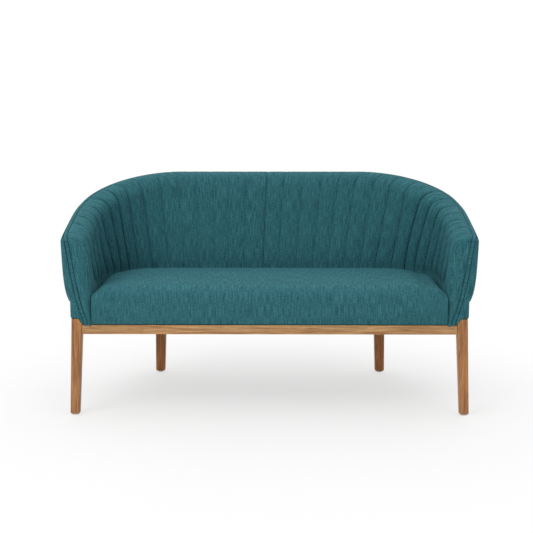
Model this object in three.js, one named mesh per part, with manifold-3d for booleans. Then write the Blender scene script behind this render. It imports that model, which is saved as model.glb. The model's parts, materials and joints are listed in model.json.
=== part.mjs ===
// A two-seat settee with a low tub back. The inside of the back and arms is one channelled pad,
// the seat is a tight upholstered seat, and the base is a timber frame on four splayed legs.
// Millimetres. x runs to the right, y runs back from the front of the arms, z runs up from the floor.

import * as THREE from 'three';
import { mergeVertices } from 'three/addons/utils/BufferGeometryUtils.js';
import Module from 'manifold-3d';

const wasm = await Module();
wasm.setup();

// Clearances
const gap = 0.3; // between pieces that touch
const curveGap = 1.6; // between curved pieces whose facets differ
const overrun = 4; // how far a cut or a joined stub runs past the face it meets

// Outside of the tub
const armReach = 670; // centre line to the outside of an arm
const backReach = 620; // front of the arms to the outside of the back
const backHeight = 753;
const armDropHeight = 162; // the arm fronts are this much lower than the back
const topCornerRadius = 315;
const lowerSideInset = 22; // the upholstery draws in this far down to the base
const lowerBackInset = 53;
const lowerCornerRadius = 240;
const lowerSwellDepth = 12; // how far the back pad stands out just above its ledge
const ledgeRiseHeight = 30; // plain band between the seat frame and the outer padding
const swellRate = 5;
const kneeShare = 0.398; // where the top edge starts to fall, along the half outline
const kneeSoftShare = 0.1;

// Inside of the tub, at the crease where the seat meets it, and how it opens up to the back's height
const armWidth = 92.4;
const backDepth = 162;
const creaseCornerRadius = 195;
const armLeanWidth = 12;
const backTopThickness = 75;
const cornerGrowthRadius = 107;

// Channelled inside pad
const channelsPerHalf = 16; // beside the channel in the middle
const channelDipDepth = 7;
const channelShares = [0, 0.22, 0.78];
const padThickness = 30;
const lumbarThickness = 60;
const rollDepth = 42; // height of the rounded top edge
const rollSpanShares = [0.12, 0.3, 0.56, 1];
const rollFallShares = [0.48, 0.14, 0, 0.1];
const rollDipShares = [0.9, 0.7, 0.4, 0];
const hookEdgeHeight = 18;
const hookThickness = 26.5;
const frontPadDepth = 25;
const frontRoundRadius = 20;
const frontRoundAngles = [0, 45, 70, 90];
const frontRoundShare = 0.33; // of the width of the arm front
const frontTopRadius = 7;

// Outside panels
const skinThickness = 2;
const panelThickness = 8;
const panelRollHeight = 8; // rounding of the outer top edge
const panelRiseShares = [0.12, 0.3, 0.55, 0.8];
const panelFrontRadius = 22;
const panelFrontAngles = [0, 30, 60, 90];
const panelFrontShare = 0.8; // most of the width of the arm front that the turn may take
const panelMiddleShare = 0.4; // place of the ring between the leg and the seam
const panelTurnPower = 1.5;
const panelShoulderShare = 0.25;
const panelShoulderHeight = 2;
const panelEdgeHeight = 8;

// Seam cord round the top and down the arm fronts
const seamSideInset = 16;
const seamBackInset = 13;
const seamTopInset = 8; // at the arm fronts, further in than along the sides
const seamBottomInset = 59;
const seamOutShares = [0, 0.37, 0.59, 0.86, 1];
const seamTuckDepth = 22;
const cordRadius = 2.6;
const cordSides = 6;
const cordBendRadius = 4; // the cord turns from the top to the arm front within this
const cordTurnShares = [0.33, 1]; // of the turn at the front of an outside panel
const cordGroove = cordRadius + curveGap;
const panelGroove = cordGroove + gap;

// Seat
const seatThickness = 57.3; // over the webbing, at the sides
const creaseRiseHeight = 7; // crease above the sides of the seat
const seatCrownHeight = 28;
const seatSideWidth = 38;
const seatBulgeDepth = 9;
const seatFrontRadius = 38;
const seatTuckDepth = 4; // the sides draw in towards the frame
const seatStationShares = [1, 0.92, 0.84, 0.76, 0.68, 0.6, 0.5, 0.36, 0.18];
const seatStraightShare = 0.5; // the stations of the straight back; the rest go round a corner
const seatTopShares = [[0.03, 0.22], [0.1, 0.55], [0.25, 0.87], [0.5, 1], [0.78, 0.98]];
const seatRollShares = [[1, 0.92, 0], [0.5, 0.55, 0.03], [0.12, 0.05, 0.12]];
const seatFaceShares = [[0.62, 1], [0.25, 0.8], [0, 0.35]];
const coverThickness = 3;
const seatClearance = 3;

// Base
const railBottom = 273;
const railHeight = 30;
const railThickness = 22;
const railInset = 4; // side and back rails behind the side of the upholstery
const railTurnShares = [1, 0.8, 0.6, 0.4, 0.2]; // of the quarter turn at a back corner
const glideHeight = 4;
const glideRadius = 12;
const glideChamfer = 1.5;
const glidePinRadius = 2.5;
const glidePinLength = 14;
const glideSides = 12;
const legCorner = 5;
const legCornerShares = [0, 0.5, 1];
const footChamfer = 2.5;
const legProud = 1; // front legs stand this far in front of the arms
const legInset = 6.6;
const legRiseHeight = 20; // front legs above the rails
const frontLegTop = { width: 36, depth: 37 };
const frontLegFoot = { width: 30.5, depth: 28 };
const frontLegSplay = 15.3;
const backLegInset = 242; // from the side of the upholstery
const backLegTop = { width: 42, depth: 38 };
const backLegFoot = { width: 34, depth: 30 };
const backLegSplay = 8;
const backLegRake = 7;
const tenonThickness = 9;
const tenonHeight = 21;
const tenonLength = 14;
const blockLength = 88;
const blockInset = 2;
const boltRadius = 4;
const boltHeadRadius = 8;
const boltHeadHeight = 5;
const boltGripLength = 14;
const boltSides = 10;

// Seat frame and tub frame
const coverSheet = 1; // dust cover
const dustInset = 15;
const seatBarHeight = 40;
const seatBarWidth = 42;
const backBarWidth = 66;
const frontBarWidth = 35;
const strapWidth = 62;
const strapThickness = 1.6;
const strapPitchWidth = 100;
const strapsPerHalf = 3;
const firstStrapShare = 0.75; // of a pitch, from the middle to the first strap
const crossStrapYs = [150, 290];
const strapEndLength = 40; // how far straps run on to the frame
const strapRampLength = 14;
const liningGap = 3; // the inside pad lies on a lining stretched over the frame
const postThickness = 26;
const frontPostWidth = 36;
const cornerPostShares = [0.6, 0.64];
const backPostShares = [0.34, 0.38];
const centrePostShares = [-0.02, 0.02];
const topRailHeight = 22;
const topRailThickness = 34;

// Places along the outlines, as shares of the way from the middle of the back to an arm front.
// The frame, the outside panels and the seam cord share them, so that their facets run parallel.
const backShares = [0.2, 0.25, kneeShare - kneeSoftShare, ...backPostShares];
const jointShare = 0.383;
const cornerShares = [0.42, 0.47, 0.52, 0.56, ...cornerPostShares, 0.68, 0.72];
const armShares = [0.78, 0.85, 0.92];

// Places worked out from the sizes above
const lowerHalf = armReach - lowerSideInset;
const lowerDepth = backReach - lowerBackInset;
const armHeight = backHeight - armDropHeight;
const seatHalf = armReach - armWidth;
const seatDepth = backReach - backDepth;
const seamHalf = armReach - seamSideInset;
const seamDepth = backReach - seamBackInset;
const seamTopX = seamHalf - seamTopInset;
const seamBottomX = lowerHalf - seamBottomInset;
const backLegX = lowerHalf - backLegInset;
const railTop = railBottom + railHeight;
const dustBottom = railTop + gap;
const seatBarBottom = dustBottom + coverSheet + gap;
const coverBottom = seatBarBottom + gap;
const seatBarTop = seatBarBottom + seatBarHeight;
const ledgeHeight = seatBarTop + ledgeRiseHeight;
const strapBottom = seatBarTop + gap;
const crossStrapBottom = strapBottom + strapThickness + gap;
const deck = crossStrapBottom + strapThickness + gap;
const seatEdgeHeight = deck + seatThickness;
const creaseHeight = seatEdgeHeight + creaseRiseHeight;
const backLeanDepth = backDepth - backTopThickness;
const frontLegTopZ = railTop + legRiseHeight;
const footZ = glideHeight + gap;

const mix = THREE.MathUtils.lerp;
const degrees = THREE.MathUtils.degToRad;
const at = (spot, z) => new THREE.Vector3(spot.x, spot.y, z);

// Plan outlines: a U open to the front, with straight arms, a straight back and round corners

const offset = (plan, by) => ({
  half: plan.half + by,
  depth: plan.depth + by,
  radius: plan.radius + by,
});

const bothSides = (shares) => [...shares.map((s) => -s).reverse(), ...shares];

const planLength = ({ half, depth, radius }) => half + depth + radius * (Math.PI / 2 - 2);

// A column is a place along an outline. It has a share s, from -1 at the front of the left arm
// to 1 at the front of the right arm, or a side and a y on an arm, or a side and an x on the back,
// or a side and a share of the quarter turn round a corner.
function place(plan, column) {
  const { half, depth, radius } = plan;
  const side = column.side ?? (column.s < 0 ? -1 : 1);
  if (column.y !== undefined) return new THREE.Vector2(side * half, column.y);
  const straight = half - radius;
  const onCorner = (angle) => new THREE.Vector2(
    side * (straight + radius * Math.sin(angle)), depth - radius + radius * Math.cos(angle));
  if (column.turn !== undefined) return onCorner(column.turn * Math.PI / 2);
  if (column.x !== undefined) {
    const past = Math.max(0, column.x - straight);
    return new THREE.Vector2(side * column.x, depth - radius + Math.sqrt(radius ** 2 - past ** 2));
  }
  const run = Math.abs(column.s) * planLength(plan);
  if (run < straight) return new THREE.Vector2(side * run, depth);
  const angle = (run - straight) / radius;
  if (angle < Math.PI / 2) return onCorner(angle);
  return new THREE.Vector2(side * half, planLength(plan) - run);
}

function innerPlan(z) {
  const rise = (z - creaseHeight) / (backHeight - creaseHeight);
  return {
    half: seatHalf + armLeanWidth * rise,
    depth: seatDepth + backLeanDepth * rise,
    radius: creaseCornerRadius + cornerGrowthRadius * rise,
  };
}

// The face that the inside pad lies against: thicker behind the small of the back
function supportPlan(z) {
  const plan = offset(innerPlan(z), padThickness);
  const low = (backHeight - z) / (backHeight - deck);
  return { ...plan, depth: plan.depth + (lumbarThickness - padThickness) * low };
}

function outerPlan(rise) {
  const swell = 1 - Math.exp(-swellRate * rise);
  const lean = backReach - lowerDepth - lowerSwellDepth;
  return {
    half: lowerHalf + (armReach - lowerHalf) * swell,
    depth: lowerDepth + lowerSwellDepth * swell + lean * rise,
    radius: mix(lowerCornerRadius, topCornerRadius, rise),
  };
}

const seamPlan = { half: seamHalf, depth: seamDepth, radius: topCornerRadius };

// Heights along the top edge

function shareOf(column) {
  if (column.s !== undefined) return Math.abs(column.s);
  return 1 - column.y / planLength(innerPlan(armHeight));
}

function kneeFall(share) {
  const before = kneeShare - kneeSoftShare;
  const after = kneeShare + kneeSoftShare;
  if (share <= before) return 0;
  const run = share >= after ? share - kneeShare : (share - before) ** 2 / (4 * kneeSoftShare);
  return run / (1 - kneeShare);
}

const topHeight = (column) => mix(backHeight, armHeight, kneeFall(shareOf(column)));
const seamDrop = rollFallShares.at(-1) * rollDepth;
const seamHeight = (column) => topHeight(column) - seamDrop;
const seamTopZ = armHeight - seamDrop;

// Seam line along the top edge, and down the arm fronts
function seamPlace(column, by) {
  const spot = place(offset(seamPlan, by), column);
  const tuck = (seamHalf - seamTopX) * Math.exp(-Math.max(0, spot.y) / seamTuckDepth);
  spot.x -= Math.sign(spot.x) * tuck;
  return spot;
}

const seamRise = (share) => mix(ledgeHeight, seamTopZ - panelRollHeight, share);
const seamLevels = [
  coverBottom,
  ledgeHeight,
  seamRise(panelRiseShares[1]),
  seamRise(panelRiseShares[3]),
  seamTopZ,
];

function frontSeamX(z) {
  const next = Math.max(1, seamLevels.findIndex((level, i) => z <= level || i === seamLevels.length - 1));
  const along = (z - seamLevels[next - 1]) / (seamLevels[next] - seamLevels[next - 1]);
  const out = mix(seamOutShares[next - 1], seamOutShares[next], Math.min(along, 1));
  return mix(seamBottomX, seamTopX, out);
}

// Solids from rings of points

function capTriangles(ring, first, sign) {
  const normal = new THREE.Vector3();
  ring.forEach((p, i) => {
    const q = ring[(i + 1) % ring.length];
    normal.x += (p.y - q.y) * (p.z + q.z);
    normal.y += (p.z - q.z) * (p.x + q.x);
    normal.z += (p.x - q.x) * (p.y + q.y);
  });
  normal.normalize();
  const turn = new THREE.Quaternion().setFromUnitVectors(normal, new THREE.Vector3(0, 0, 1));
  const flat = ring.map((p) => p.clone().applyQuaternion(turn)).map((p) => new THREE.Vector2(p.x, p.y));
  const faces = THREE.ShapeUtils.triangulateShape(flat, []);
  const area = ([a, b, c]) => flat[b].clone().sub(flat[a]).cross(flat[c].clone().sub(flat[a]));
  const keep = faces.reduce((sum, face) => sum + area(face), 0) * sign > 0;
  return faces.flatMap(([a, b, c]) => (keep ? [a, b, c] : [a, c, b]).map((i) => first + i));
}

function indexed(points, triangles) {
  const geometry = new THREE.BufferGeometry().setFromPoints(points);
  geometry.setIndex(triangles);
  return geometry;
}

function flipped(triangles) {
  const out = [];
  for (let i = 0; i < triangles.length; i += 3) {
    out.push(triangles[i], triangles[i + 2], triangles[i + 1]);
  }
  return out;
}

function enclosedVolume(points, triangles) {
  let volume = 0;
  for (let i = 0; i < triangles.length; i += 3) {
    const [a, b, c] = triangles.slice(i, i + 3).map((n) => points[n]);
    volume += a.dot(b.clone().cross(c)) / 6;
  }
  return volume;
}

// Joins rings of equal length into a closed solid with flat ends
function loft(rings) {
  const count = rings[0].length;
  const points = rings.flat();
  const triangles = capTriangles(rings[0], 0, -1);
  for (let r = 0; r + 1 < rings.length; r += 1) {
    for (let i = 0; i < count; i += 1) {
      const a = r * count + i;
      const b = r * count + ((i + 1) % count);
      triangles.push(a, b, b + count, a, b + count, a + count);
    }
  }
  triangles.push(...capTriangles(rings.at(-1), points.length - count, 1));
  const outward = enclosedVolume(points, triangles) > 0;
  return indexed(points, outward ? triangles : flipped(triangles));
}

// A turned piece about the z axis, from pairs of radius and height
function turned(profile, sides) {
  return loft(profile.map(([radius, z]) => Array.from({ length: sides }, (_, i) => {
    const angle = (i / sides) * Math.PI * 2;
    return new THREE.Vector3(radius * Math.cos(angle), radius * Math.sin(angle), z);
  })));
}

function box(low, high) {
  const size = high.map((value, i) => value - low[i]);
  const middle = high.map((value, i) => (value + low[i]) / 2);
  return new THREE.BoxGeometry(...size).translate(...middle);
}

function prism(outline, low, high) {
  const spots = outline.map(([x, y]) => new THREE.Vector2(x, y));
  return loft([low, high].map((z) => spots.map((spot) => at(spot, z))));
}

function mirrored(geometry) {
  const copy = geometry.clone().scale(-1, 1, 1);
  copy.setIndex(flipped([...geometry.index.array]));
  return copy;
}

function toSolid(geometry) {
  const bare = geometry.clone();
  bare.deleteAttribute('normal');
  bare.deleteAttribute('uv');
  const merged = mergeVertices(bare);
  return new wasm.Manifold(new wasm.Mesh({
    numProp: 3,
    vertProperties: new Float32Array(merged.attributes.position.array),
    triVerts: new Uint32Array(merged.index.array),
  }));
}

function fromSolid(solid) {
  const { vertProperties, triVerts } = solid.getMesh();
  const geometry = new THREE.BufferGeometry();
  geometry.setAttribute('position', new THREE.BufferAttribute(vertProperties, 3));
  geometry.setIndex([...triVerts]);
  return geometry;
}

function worked(geometry, joined, cuts) {
  let solid = toSolid(geometry);
  for (const piece of joined) solid = solid.add(toSolid(piece));
  for (const piece of cuts) solid = solid.subtract(toSolid(piece));
  return fromSolid(solid);
}

const grown = ([low, high]) => [low.map((v) => v - gap), high.map((v) => v + gap)];

// Materials

const finish = (color, roughness, metalness = 0) => (
  new THREE.MeshStandardMaterial({ color, roughness, metalness }));
const fabric = finish(0x2f6468, 0.92);
const timber = finish(0xa8754c, 0.5);
const frameTimber = finish(0xcbb083, 0.7);
const foam = finish(0xe6dcb8, 0.95);
const webbing = finish(0x8a6b45, 0.9);
const liner = finish(0x26282a, 0.95);
const nylon = finish(0xe4e2dc, 0.45);
const steel = finish(0x9a9da1, 0.35, 0.9);

const settee = new THREE.Group();

function add(name, geometry, material) {
  const mesh = new THREE.Mesh(geometry, material);
  mesh.name = name;
  settee.add(mesh);
}

function addPair(name, geometry, material) {
  add(`${name}_right`, geometry, material);
  add(`${name}_left`, mirrored(geometry), material);
}

// Legs

const frontLeg = {
  top: {
    ...frontLegTop,
    x: lowerHalf - legInset - frontLegTop.width / 2,
    y: frontLegTop.depth / 2 - legProud,
  },
  topZ: frontLegTopZ,
};
frontLeg.foot = {
  ...frontLegFoot,
  x: frontLeg.top.x + frontLegSplay,
  y: frontLegFoot.depth / 2 - legProud,
};

const backLeg = {
  top: { ...backLegTop, x: backLegX, y: lowerDepth - railInset - backLegTop.depth / 2 },
  topZ: railTop,
};
backLeg.foot = { ...backLegFoot, x: backLegX + backLegSplay, y: backLeg.top.y + backLegRake };

function legSize(leg, z) {
  const rise = (z - footZ) / (leg.topZ - footZ);
  const size = {};
  for (const key of ['x', 'y', 'width', 'depth']) size[key] = mix(leg.foot[key], leg.top[key], rise);
  return size;
}

function legFaces(leg, z) {
  const { x, y, width, depth } = legSize(leg, z);
  return { inner: x - width / 2, outer: x + width / 2, front: y - depth / 2, back: y + depth / 2 };
}

function legRing(leg, z, shrink) {
  const { x, y, width, depth } = legSize(leg, z);
  const corners = [[1, 1], [-1, 1], [-1, -1], [1, -1]];
  return corners.flatMap(([sx, sy], turns) => legCornerShares.map((share) => {
    const angle = (turns + share) * Math.PI / 2;
    const cx = x + sx * (width / 2 - shrink - legCorner);
    const cy = y + sy * (depth / 2 - shrink - legCorner);
    return new THREE.Vector3(cx + legCorner * Math.cos(angle), cy + legCorner * Math.sin(angle), z);
  }));
}

function legBlank(leg) {
  const sole = legRing(leg, footZ, footChamfer);
  return loft([sole, legRing(leg, footZ + footChamfer, 0), legRing(leg, leg.topZ, 0)]);
}

// Tenons, each a pair of corners, named for the piece that carries it

const tenonLow = railBottom + (railHeight - tenonHeight) / 2;
const tenonHigh = tenonLow + tenonHeight;
const tenonSpan = (middle) => [middle - tenonThickness / 2, middle + tenonThickness / 2];

function tenonAcross(left, right, y) {
  const [front, back] = tenonSpan(y);
  return [[left, front, tenonLow], [right, back, tenonHigh]];
}

function tenonAlong(x, front, back) {
  const [left, right] = tenonSpan(x);
  return [[left, front, tenonLow], [right, back, tenonHigh]];
}

const basePlan = { half: lowerHalf, depth: lowerDepth, radius: lowerCornerRadius };
const railPlan = offset(basePlan, -railInset);
const backRailY = railPlan.depth - railThickness / 2;
const sideRailX = railPlan.half - railThickness / 2;
const frontLegInner = (z) => legFaces(frontLeg, z).inner;
const frontLegBack = legFaces(frontLeg, frontLegTopZ).back;
const backLegFaces = {
  inner: legFaces(backLeg, railTop).inner,
  outer: legFaces(backLeg, railBottom).outer,
  front: legFaces(backLeg, railTop).front,
};

// From the shoulder, a tenon runs one way into the next piece and a stub runs the other way
const backwards = (shoulder) => [shoulder - overrun, shoulder + tenonLength];
const forwards = (shoulder) => [shoulder - tenonLength, shoulder + overrun];

const tenons = {
  frontRail: tenonAcross(...backwards(frontLegInner(railTop)), railThickness / 2),
  sideRailFront: tenonAlong(sideRailX, ...forwards(frontLegBack)),
  sideRailBack: tenonAcross(...forwards(backLegFaces.outer), backRailY),
  backRail: tenonAcross(...backwards(backLegFaces.inner), backRailY),
  bearerFront: tenonAlong(backLegX, ...forwards(railThickness)),
  bearerBack: tenonAlong(backLegX, ...backwards(backLegFaces.front)),
  centreFront: tenonAlong(0, ...forwards(railThickness)),
  centreBack: tenonAlong(0, ...backwards(backRailY - railThickness / 2)),
};
const tenon = (name) => box(...tenons[name]);
const mortise = (name) => box(...grown(tenons[name]));

// Corner blocks and the bolts that draw the legs into them

const boltZ = (tenonLow + tenonHigh) / 2;

const frontCorner = {
  rail: railThickness + gap,
  side: railPlan.half - railThickness - gap,
  legX: frontLegInner(railTop) - gap,
  legY: frontLegBack + gap,
  back: 1,
};
const backCorner = {
  rail: railPlan.depth - railThickness - gap,
  side: backLegX - railThickness / 2 - gap,
  legX: backLegFaces.inner - gap,
  legY: backLegFaces.front - gap,
  back: -1,
};

function cornerOutline({ rail, side, legX, legY, back }) {
  return [
    [side - blockLength, rail],
    [legX, rail],
    [legX, legY],
    [side, legY],
    [side, rail + back * blockLength],
  ];
}

// The bolt runs through the inner corner of the leg, square to the long face of the block
function boltRun({ rail, side, legX, legY, back }) {
  const away = (blockLength - (side - legX) - Math.abs(legY - rail)) / 2;
  const head = new THREE.Vector3(legX - away, legY + back * away, boltZ);
  return { head, direction: new THREE.Vector3(1, -back, 0).normalize(), length: away * Math.SQRT2 };
}

function alongBolt(corner, profile) {
  const { head, direction } = boltRun(corner);
  const turn = new THREE.Quaternion().setFromUnitVectors(new THREE.Vector3(0, 0, 1), direction);
  return turned(profile, boltSides).applyQuaternion(turn).translate(...head);
}

function boltHole(corner) {
  const radius = boltRadius + gap;
  return alongBolt(corner, [[radius, -overrun], [radius, boltRun(corner).length + boltGripLength + gap]]);
}

function legBolt(corner) {
  return alongBolt(corner, [
    [boltHeadRadius, -boltHeadHeight - gap],
    [boltHeadRadius, -gap],
    [boltRadius, -gap],
    [boltRadius, boltRun(corner).length + boltGripLength],
  ]);
}

const cornerBlock = (corner) => worked(
  prism(cornerOutline(corner), railBottom + blockInset, railTop - blockInset), [], [boltHole(corner)]);

const glidePinHole = (leg) => turned(
  [[glidePinRadius + gap, footZ - overrun], [glidePinRadius + gap, footZ + glidePinLength + gap]],
  glideSides).translate(leg.foot.x, leg.foot.y, 0);

function glide(leg) {
  return turned([
    [glideRadius - glideChamfer, 0],
    [glideRadius, glideChamfer],
    [glideRadius, glideHeight],
    [glidePinRadius, glideHeight],
    [glidePinRadius, footZ + glidePinLength],
  ], glideSides).translate(leg.foot.x, leg.foot.y, 0);
}

function buildLegs() {
  const legs = [
    ['front_leg', frontLeg, frontCorner, ['frontRail', 'sideRailFront']],
    ['back_leg', backLeg, backCorner, ['sideRailBack', 'backRail', 'bearerBack']],
  ];
  for (const [name, leg, corner, joints] of legs) {
    const cuts = [...joints.map(mortise), boltHole(corner), glidePinHole(leg)];
    addPair(name, worked(legBlank(leg), [], cuts), timber);
  }
  addPair('front_glide', glide(frontLeg), nylon);
  addPair('back_glide', glide(backLeg), nylon);
  addPair('front_corner_block', cornerBlock(frontCorner), frameTimber);
  addPair('back_corner_block', cornerBlock(backCorner), frameTimber);
  addPair('front_leg_bolt', legBolt(frontCorner), steel);
  addPair('back_leg_bolt', legBolt(backCorner), steel);
}

// Rails of the base

function frontRail() {
  const face = (y) => [[-1, railBottom], [1, railBottom], [1, railTop], [-1, railTop]].map(
    ([side, z]) => new THREE.Vector3(side * (frontLegInner(z) - gap), y, z));
  const stub = tenon('frontRail');
  const bearerCut = mortise('bearerFront');
  return worked(loft([face(0), face(railThickness)]), [stub, mirrored(stub)],
    [bearerCut, mirrored(bearerCut), mortise('centreFront')]);
}

function backRail() {
  const end = backLegFaces.inner - gap;
  const stub = tenon('backRail');
  const back = railPlan.depth;
  const blank = box([-end, back - railThickness, railBottom], [end, back, railTop]);
  return worked(blank, [stub, mirrored(stub)], [mortise('centreBack')]);
}

function bearer(x, end, stubs) {
  const low = [x - railThickness / 2, railThickness + gap, railBottom];
  return worked(box(low, [x + railThickness / 2, end - gap, railTop]), stubs.map(tenon), []);
}

function planBar(outer, inner, columns, low, high) {
  return loft(columns.map((column) => [
    at(place(inner, column), low),
    at(place(outer, column), low),
    at(place(outer, column), high),
    at(place(inner, column), high),
  ]));
}

function sideRail() {
  const columns = [
    { side: 1, y: frontLegBack + gap },
    ...railTurnShares.map((turn) => ({ side: 1, turn })),
    { side: 1, x: backLegFaces.outer + gap },
  ];
  const bar = planBar(railPlan, offset(railPlan, -railThickness), columns, railBottom, railTop);
  return worked(bar, [tenon('sideRailFront'), tenon('sideRailBack')], []);
}

function buildRails() {
  add('front_rail', frontRail(), timber);
  add('back_rail', backRail(), timber);
  addPair('side_rail', sideRail(), timber);
  const side = bearer(backLegX, backLegFaces.front, ['bearerFront', 'bearerBack']);
  const centre = bearer(0, railPlan.depth - railThickness, ['centreFront', 'centreBack']);
  addPair('bearer', side, frameTimber);
  add('bearer_centre', centre, frameTimber);
}

// Seat frame, webbing and dust cover

const barOuter = offset(basePlan, -skinThickness - gap);
const barInner = {
  half: barOuter.half - seatBarWidth,
  depth: barOuter.depth - backBarWidth,
  radius: barOuter.radius - seatBarWidth,
};
const barFront = frontLegBack + gap;

function buildSeatFrame() {
  const bar = (columns) => planBar(barOuter, barInner, columns, seatBarBottom, seatBarTop);
  const side = [...[jointShare, ...cornerShares].map((s) => ({ s })), { side: 1, y: barFront }];
  addPair('seat_frame_side', bar(side), frameTimber);
  add('seat_frame_back', bar(bothSides(backShares).map((s) => ({ s }))), frameTimber);
  const end = barInner.half - gap;
  const front = frontPadDepth + gap;
  const frontBar = box([-end, front, seatBarBottom], [end, front + frontBarWidth, seatBarTop]);
  add('seat_frame_front', frontBar, frameTimber);
}

function buildDustCover() {
  const plan = offset(barOuter, -dustInset);
  const half = [...cornerShares.map((s) => ({ s })), { side: 1, y: barFront + gap }].map(
    (column) => place(plan, column));
  const left = half.map((spot) => new THREE.Vector2(-spot.x, spot.y)).reverse();
  const faces = [dustBottom, dustBottom + coverSheet].map((z) => [...left, ...half].map((p) => at(p, z)));
  add('dust_cover', loft(faces), liner);
}

const strapX = (i) => strapPitchWidth * (i + firstStrapShare);

function crossStrap(y) {
  const reach = barInner.half + strapEndLength;
  const over = strapX(strapsPerHalf - 1) + strapWidth;
  const profile = [
    [-reach, strapBottom],
    [-over - strapRampLength, strapBottom],
    [-over, crossStrapBottom],
    [over, crossStrapBottom],
    [over + strapRampLength, strapBottom],
    [reach, strapBottom],
  ];
  const upper = profile.map(([x, z]) => [x, z + strapThickness]).reverse();
  const outline = [...profile, ...upper];
  const edges = [y - strapWidth / 2, y + strapWidth / 2];
  return loft(edges.map((edge) => outline.map(([x, z]) => new THREE.Vector3(x, edge, z))));
}

function buildWebbing() {
  const front = frontPadDepth + gap;
  const back = barInner.depth + strapEndLength;
  for (let i = 0; i < strapsPerHalf; i += 1) {
    const low = [strapX(i) - strapWidth / 2, front, strapBottom];
    const high = [strapX(i) + strapWidth / 2, back, strapBottom + strapThickness];
    addPair(`long_strap_${i + 1}`, box(low, high), webbing);
  }
  crossStrapYs.forEach((y, i) => add(`cross_strap_${i + 1}`, crossStrap(y), webbing));
}

// Tub frame: posts on the seat frame and a top rail in three lengths

const postInner = (z) => offset(supportPlan(z), liningGap);
const hookZ = (column) => topHeight(column) - hookThickness;
const railTopZ = (column) => hookZ(column) - curveGap;

function post(columns, width = postThickness) {
  const corner = (z, column, by) => at(place(offset(postInner(z(column)), by), column), z(column));
  const foot = () => seatBarTop + gap;
  const waist = (column) => (hookZ(column) + deck) / 2;
  const head = (column) => railTopZ(column) - topRailHeight - gap;
  return loft([foot, waist, head].map((z) => [
    corner(z, columns[0], 0),
    corner(z, columns[1], 0),
    corner(z, columns[1], width),
    corner(z, columns[0], width),
  ]));
}

function topRail(columns) {
  return loft(columns.map((column) => {
    const high = railTopZ(column);
    const low = high - topRailHeight;
    const corners = [[low, 0], [low, topRailThickness], [high, topRailThickness], [high, 0]];
    return corners.map(([z, by]) => at(place(offset(postInner(z), by), column), z));
  }));
}

function buildTubFrame() {
  const frontY = frontPadDepth + 2 * gap;
  const frontPost = [{ side: 1, y: frontY + frontPostWidth }, { side: 1, y: frontY }];
  addPair('arm_front_post', post(frontPost), frameTimber);
  addPair('corner_post', post(cornerPostShares.map((s) => ({ s }))), frameTimber);
  addPair('back_post', post(backPostShares.map((s) => ({ s }))), frameTimber);
  add('centre_post', post(centrePostShares.map((s) => ({ s }))), frameTimber);
  const armColumns = [jointShare, ...cornerShares, ...armShares].map((s) => ({ s }));
  addPair('arm_top_rail', topRail([...armColumns, ...frontPost]), frameTimber);
  add('back_top_rail', topRail(bothSides(backShares).map((s) => ({ s }))), frameTimber);
}

// Channelled inside pad

const innerSpot = (z, column, dip) => place(offset(innerPlan(z), dip), column);

function padRing(column) {
  const top = topHeight(column);
  const shoulder = top - rollDepth;
  const dip = column.dip ?? 0;
  const middle = (deck + shoulder) / 2;
  const face = [deck, middle, shoulder].map((z) => at(innerSpot(z, column, dip), z));
  const seam = seamPlace(column, -cordGroove);
  const roll = rollSpanShares.map((share, i) => {
    const start = innerSpot(shoulder, column, dip * rollDipShares[i]);
    return at(start.lerp(seam, share), top - rollFallShares[i] * rollDepth);
  });
  const hook = at(seam, top - seamDrop - hookEdgeHeight);
  const under = hookZ(column);
  const back = [under, (under + deck) / 2, deck].map((z) => at(place(supportPlan(z), column), z));
  return [...face, ...roll, hook, ...back];
}

// The arm front: the same ring, with its back run out to the seam on the front of the arm
function armFrontRing(side, y, roundShare) {
  const column = { side, y };
  const top = armHeight - frontTopRadius * roundShare;
  const shoulder = armHeight - rollDepth;
  const seamX = (z) => frontSeamX(z) - cordGroove;
  const innerX = (z) => mix(innerPlan(z).half, seamX(z), frontRoundShare * roundShare);
  const face = [coverBottom, (coverBottom + shoulder) / 2, shoulder].map((z) => [innerX(z), z]);
  const seamEnd = Math.abs(seamPlace(column, -cordGroove).x);
  const roll = rollSpanShares.map((share, i) => (
    [mix(innerX(shoulder), seamEnd, share), top - rollFallShares[i] * rollDepth]));
  const outerSide = seamLevels.slice(0, -1).reverse().map((z) => [seamX(z), z]);
  return [...face, ...roll, ...outerSide].map(([x, z]) => new THREE.Vector3(side * x, y, z));
}

// Columns of one half, from the seam beside the middle channel to the last one on the arm.
// Half a channel lies between the middle and the first seam, and another stands at the arm front.
function padHalf() {
  const columns = [];
  for (let k = 0; k < channelsPerHalf; k += 1) {
    for (const share of channelShares) {
      columns.push({ s: (k + share + 1 / 2) / (channelsPerHalf + 1 / 2), dip: share ? 0 : channelDipDepth });
    }
  }
  return columns.slice(0, -channelShares.length + 1);
}

function buildInsidePad() {
  const right = padHalf();
  const left = right.map((column) => ({ ...column, s: -column.s })).reverse();
  const crest = channelShares[1] / (channelsPerHalf + 1 / 2);
  const middle = [-crest, crest].map((s) => ({ s }));
  const slab = [...left, ...middle, ...right];
  const fronts = (side) => [
    padRing({ side, y: frontPadDepth + gap }),
    armFrontRing(side, frontPadDepth, 0),
    ...frontRoundAngles.map((angle) => {
      const turn = degrees(angle);
      return armFrontRing(side, frontRoundRadius * (1 - Math.sin(turn)), 1 - Math.cos(turn));
    }),
  ];
  add('inside_pad', loft([...fronts(-1).reverse(), ...slab.map(padRing), ...fronts(1)]), fabric);
}

// Outside panels

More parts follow.
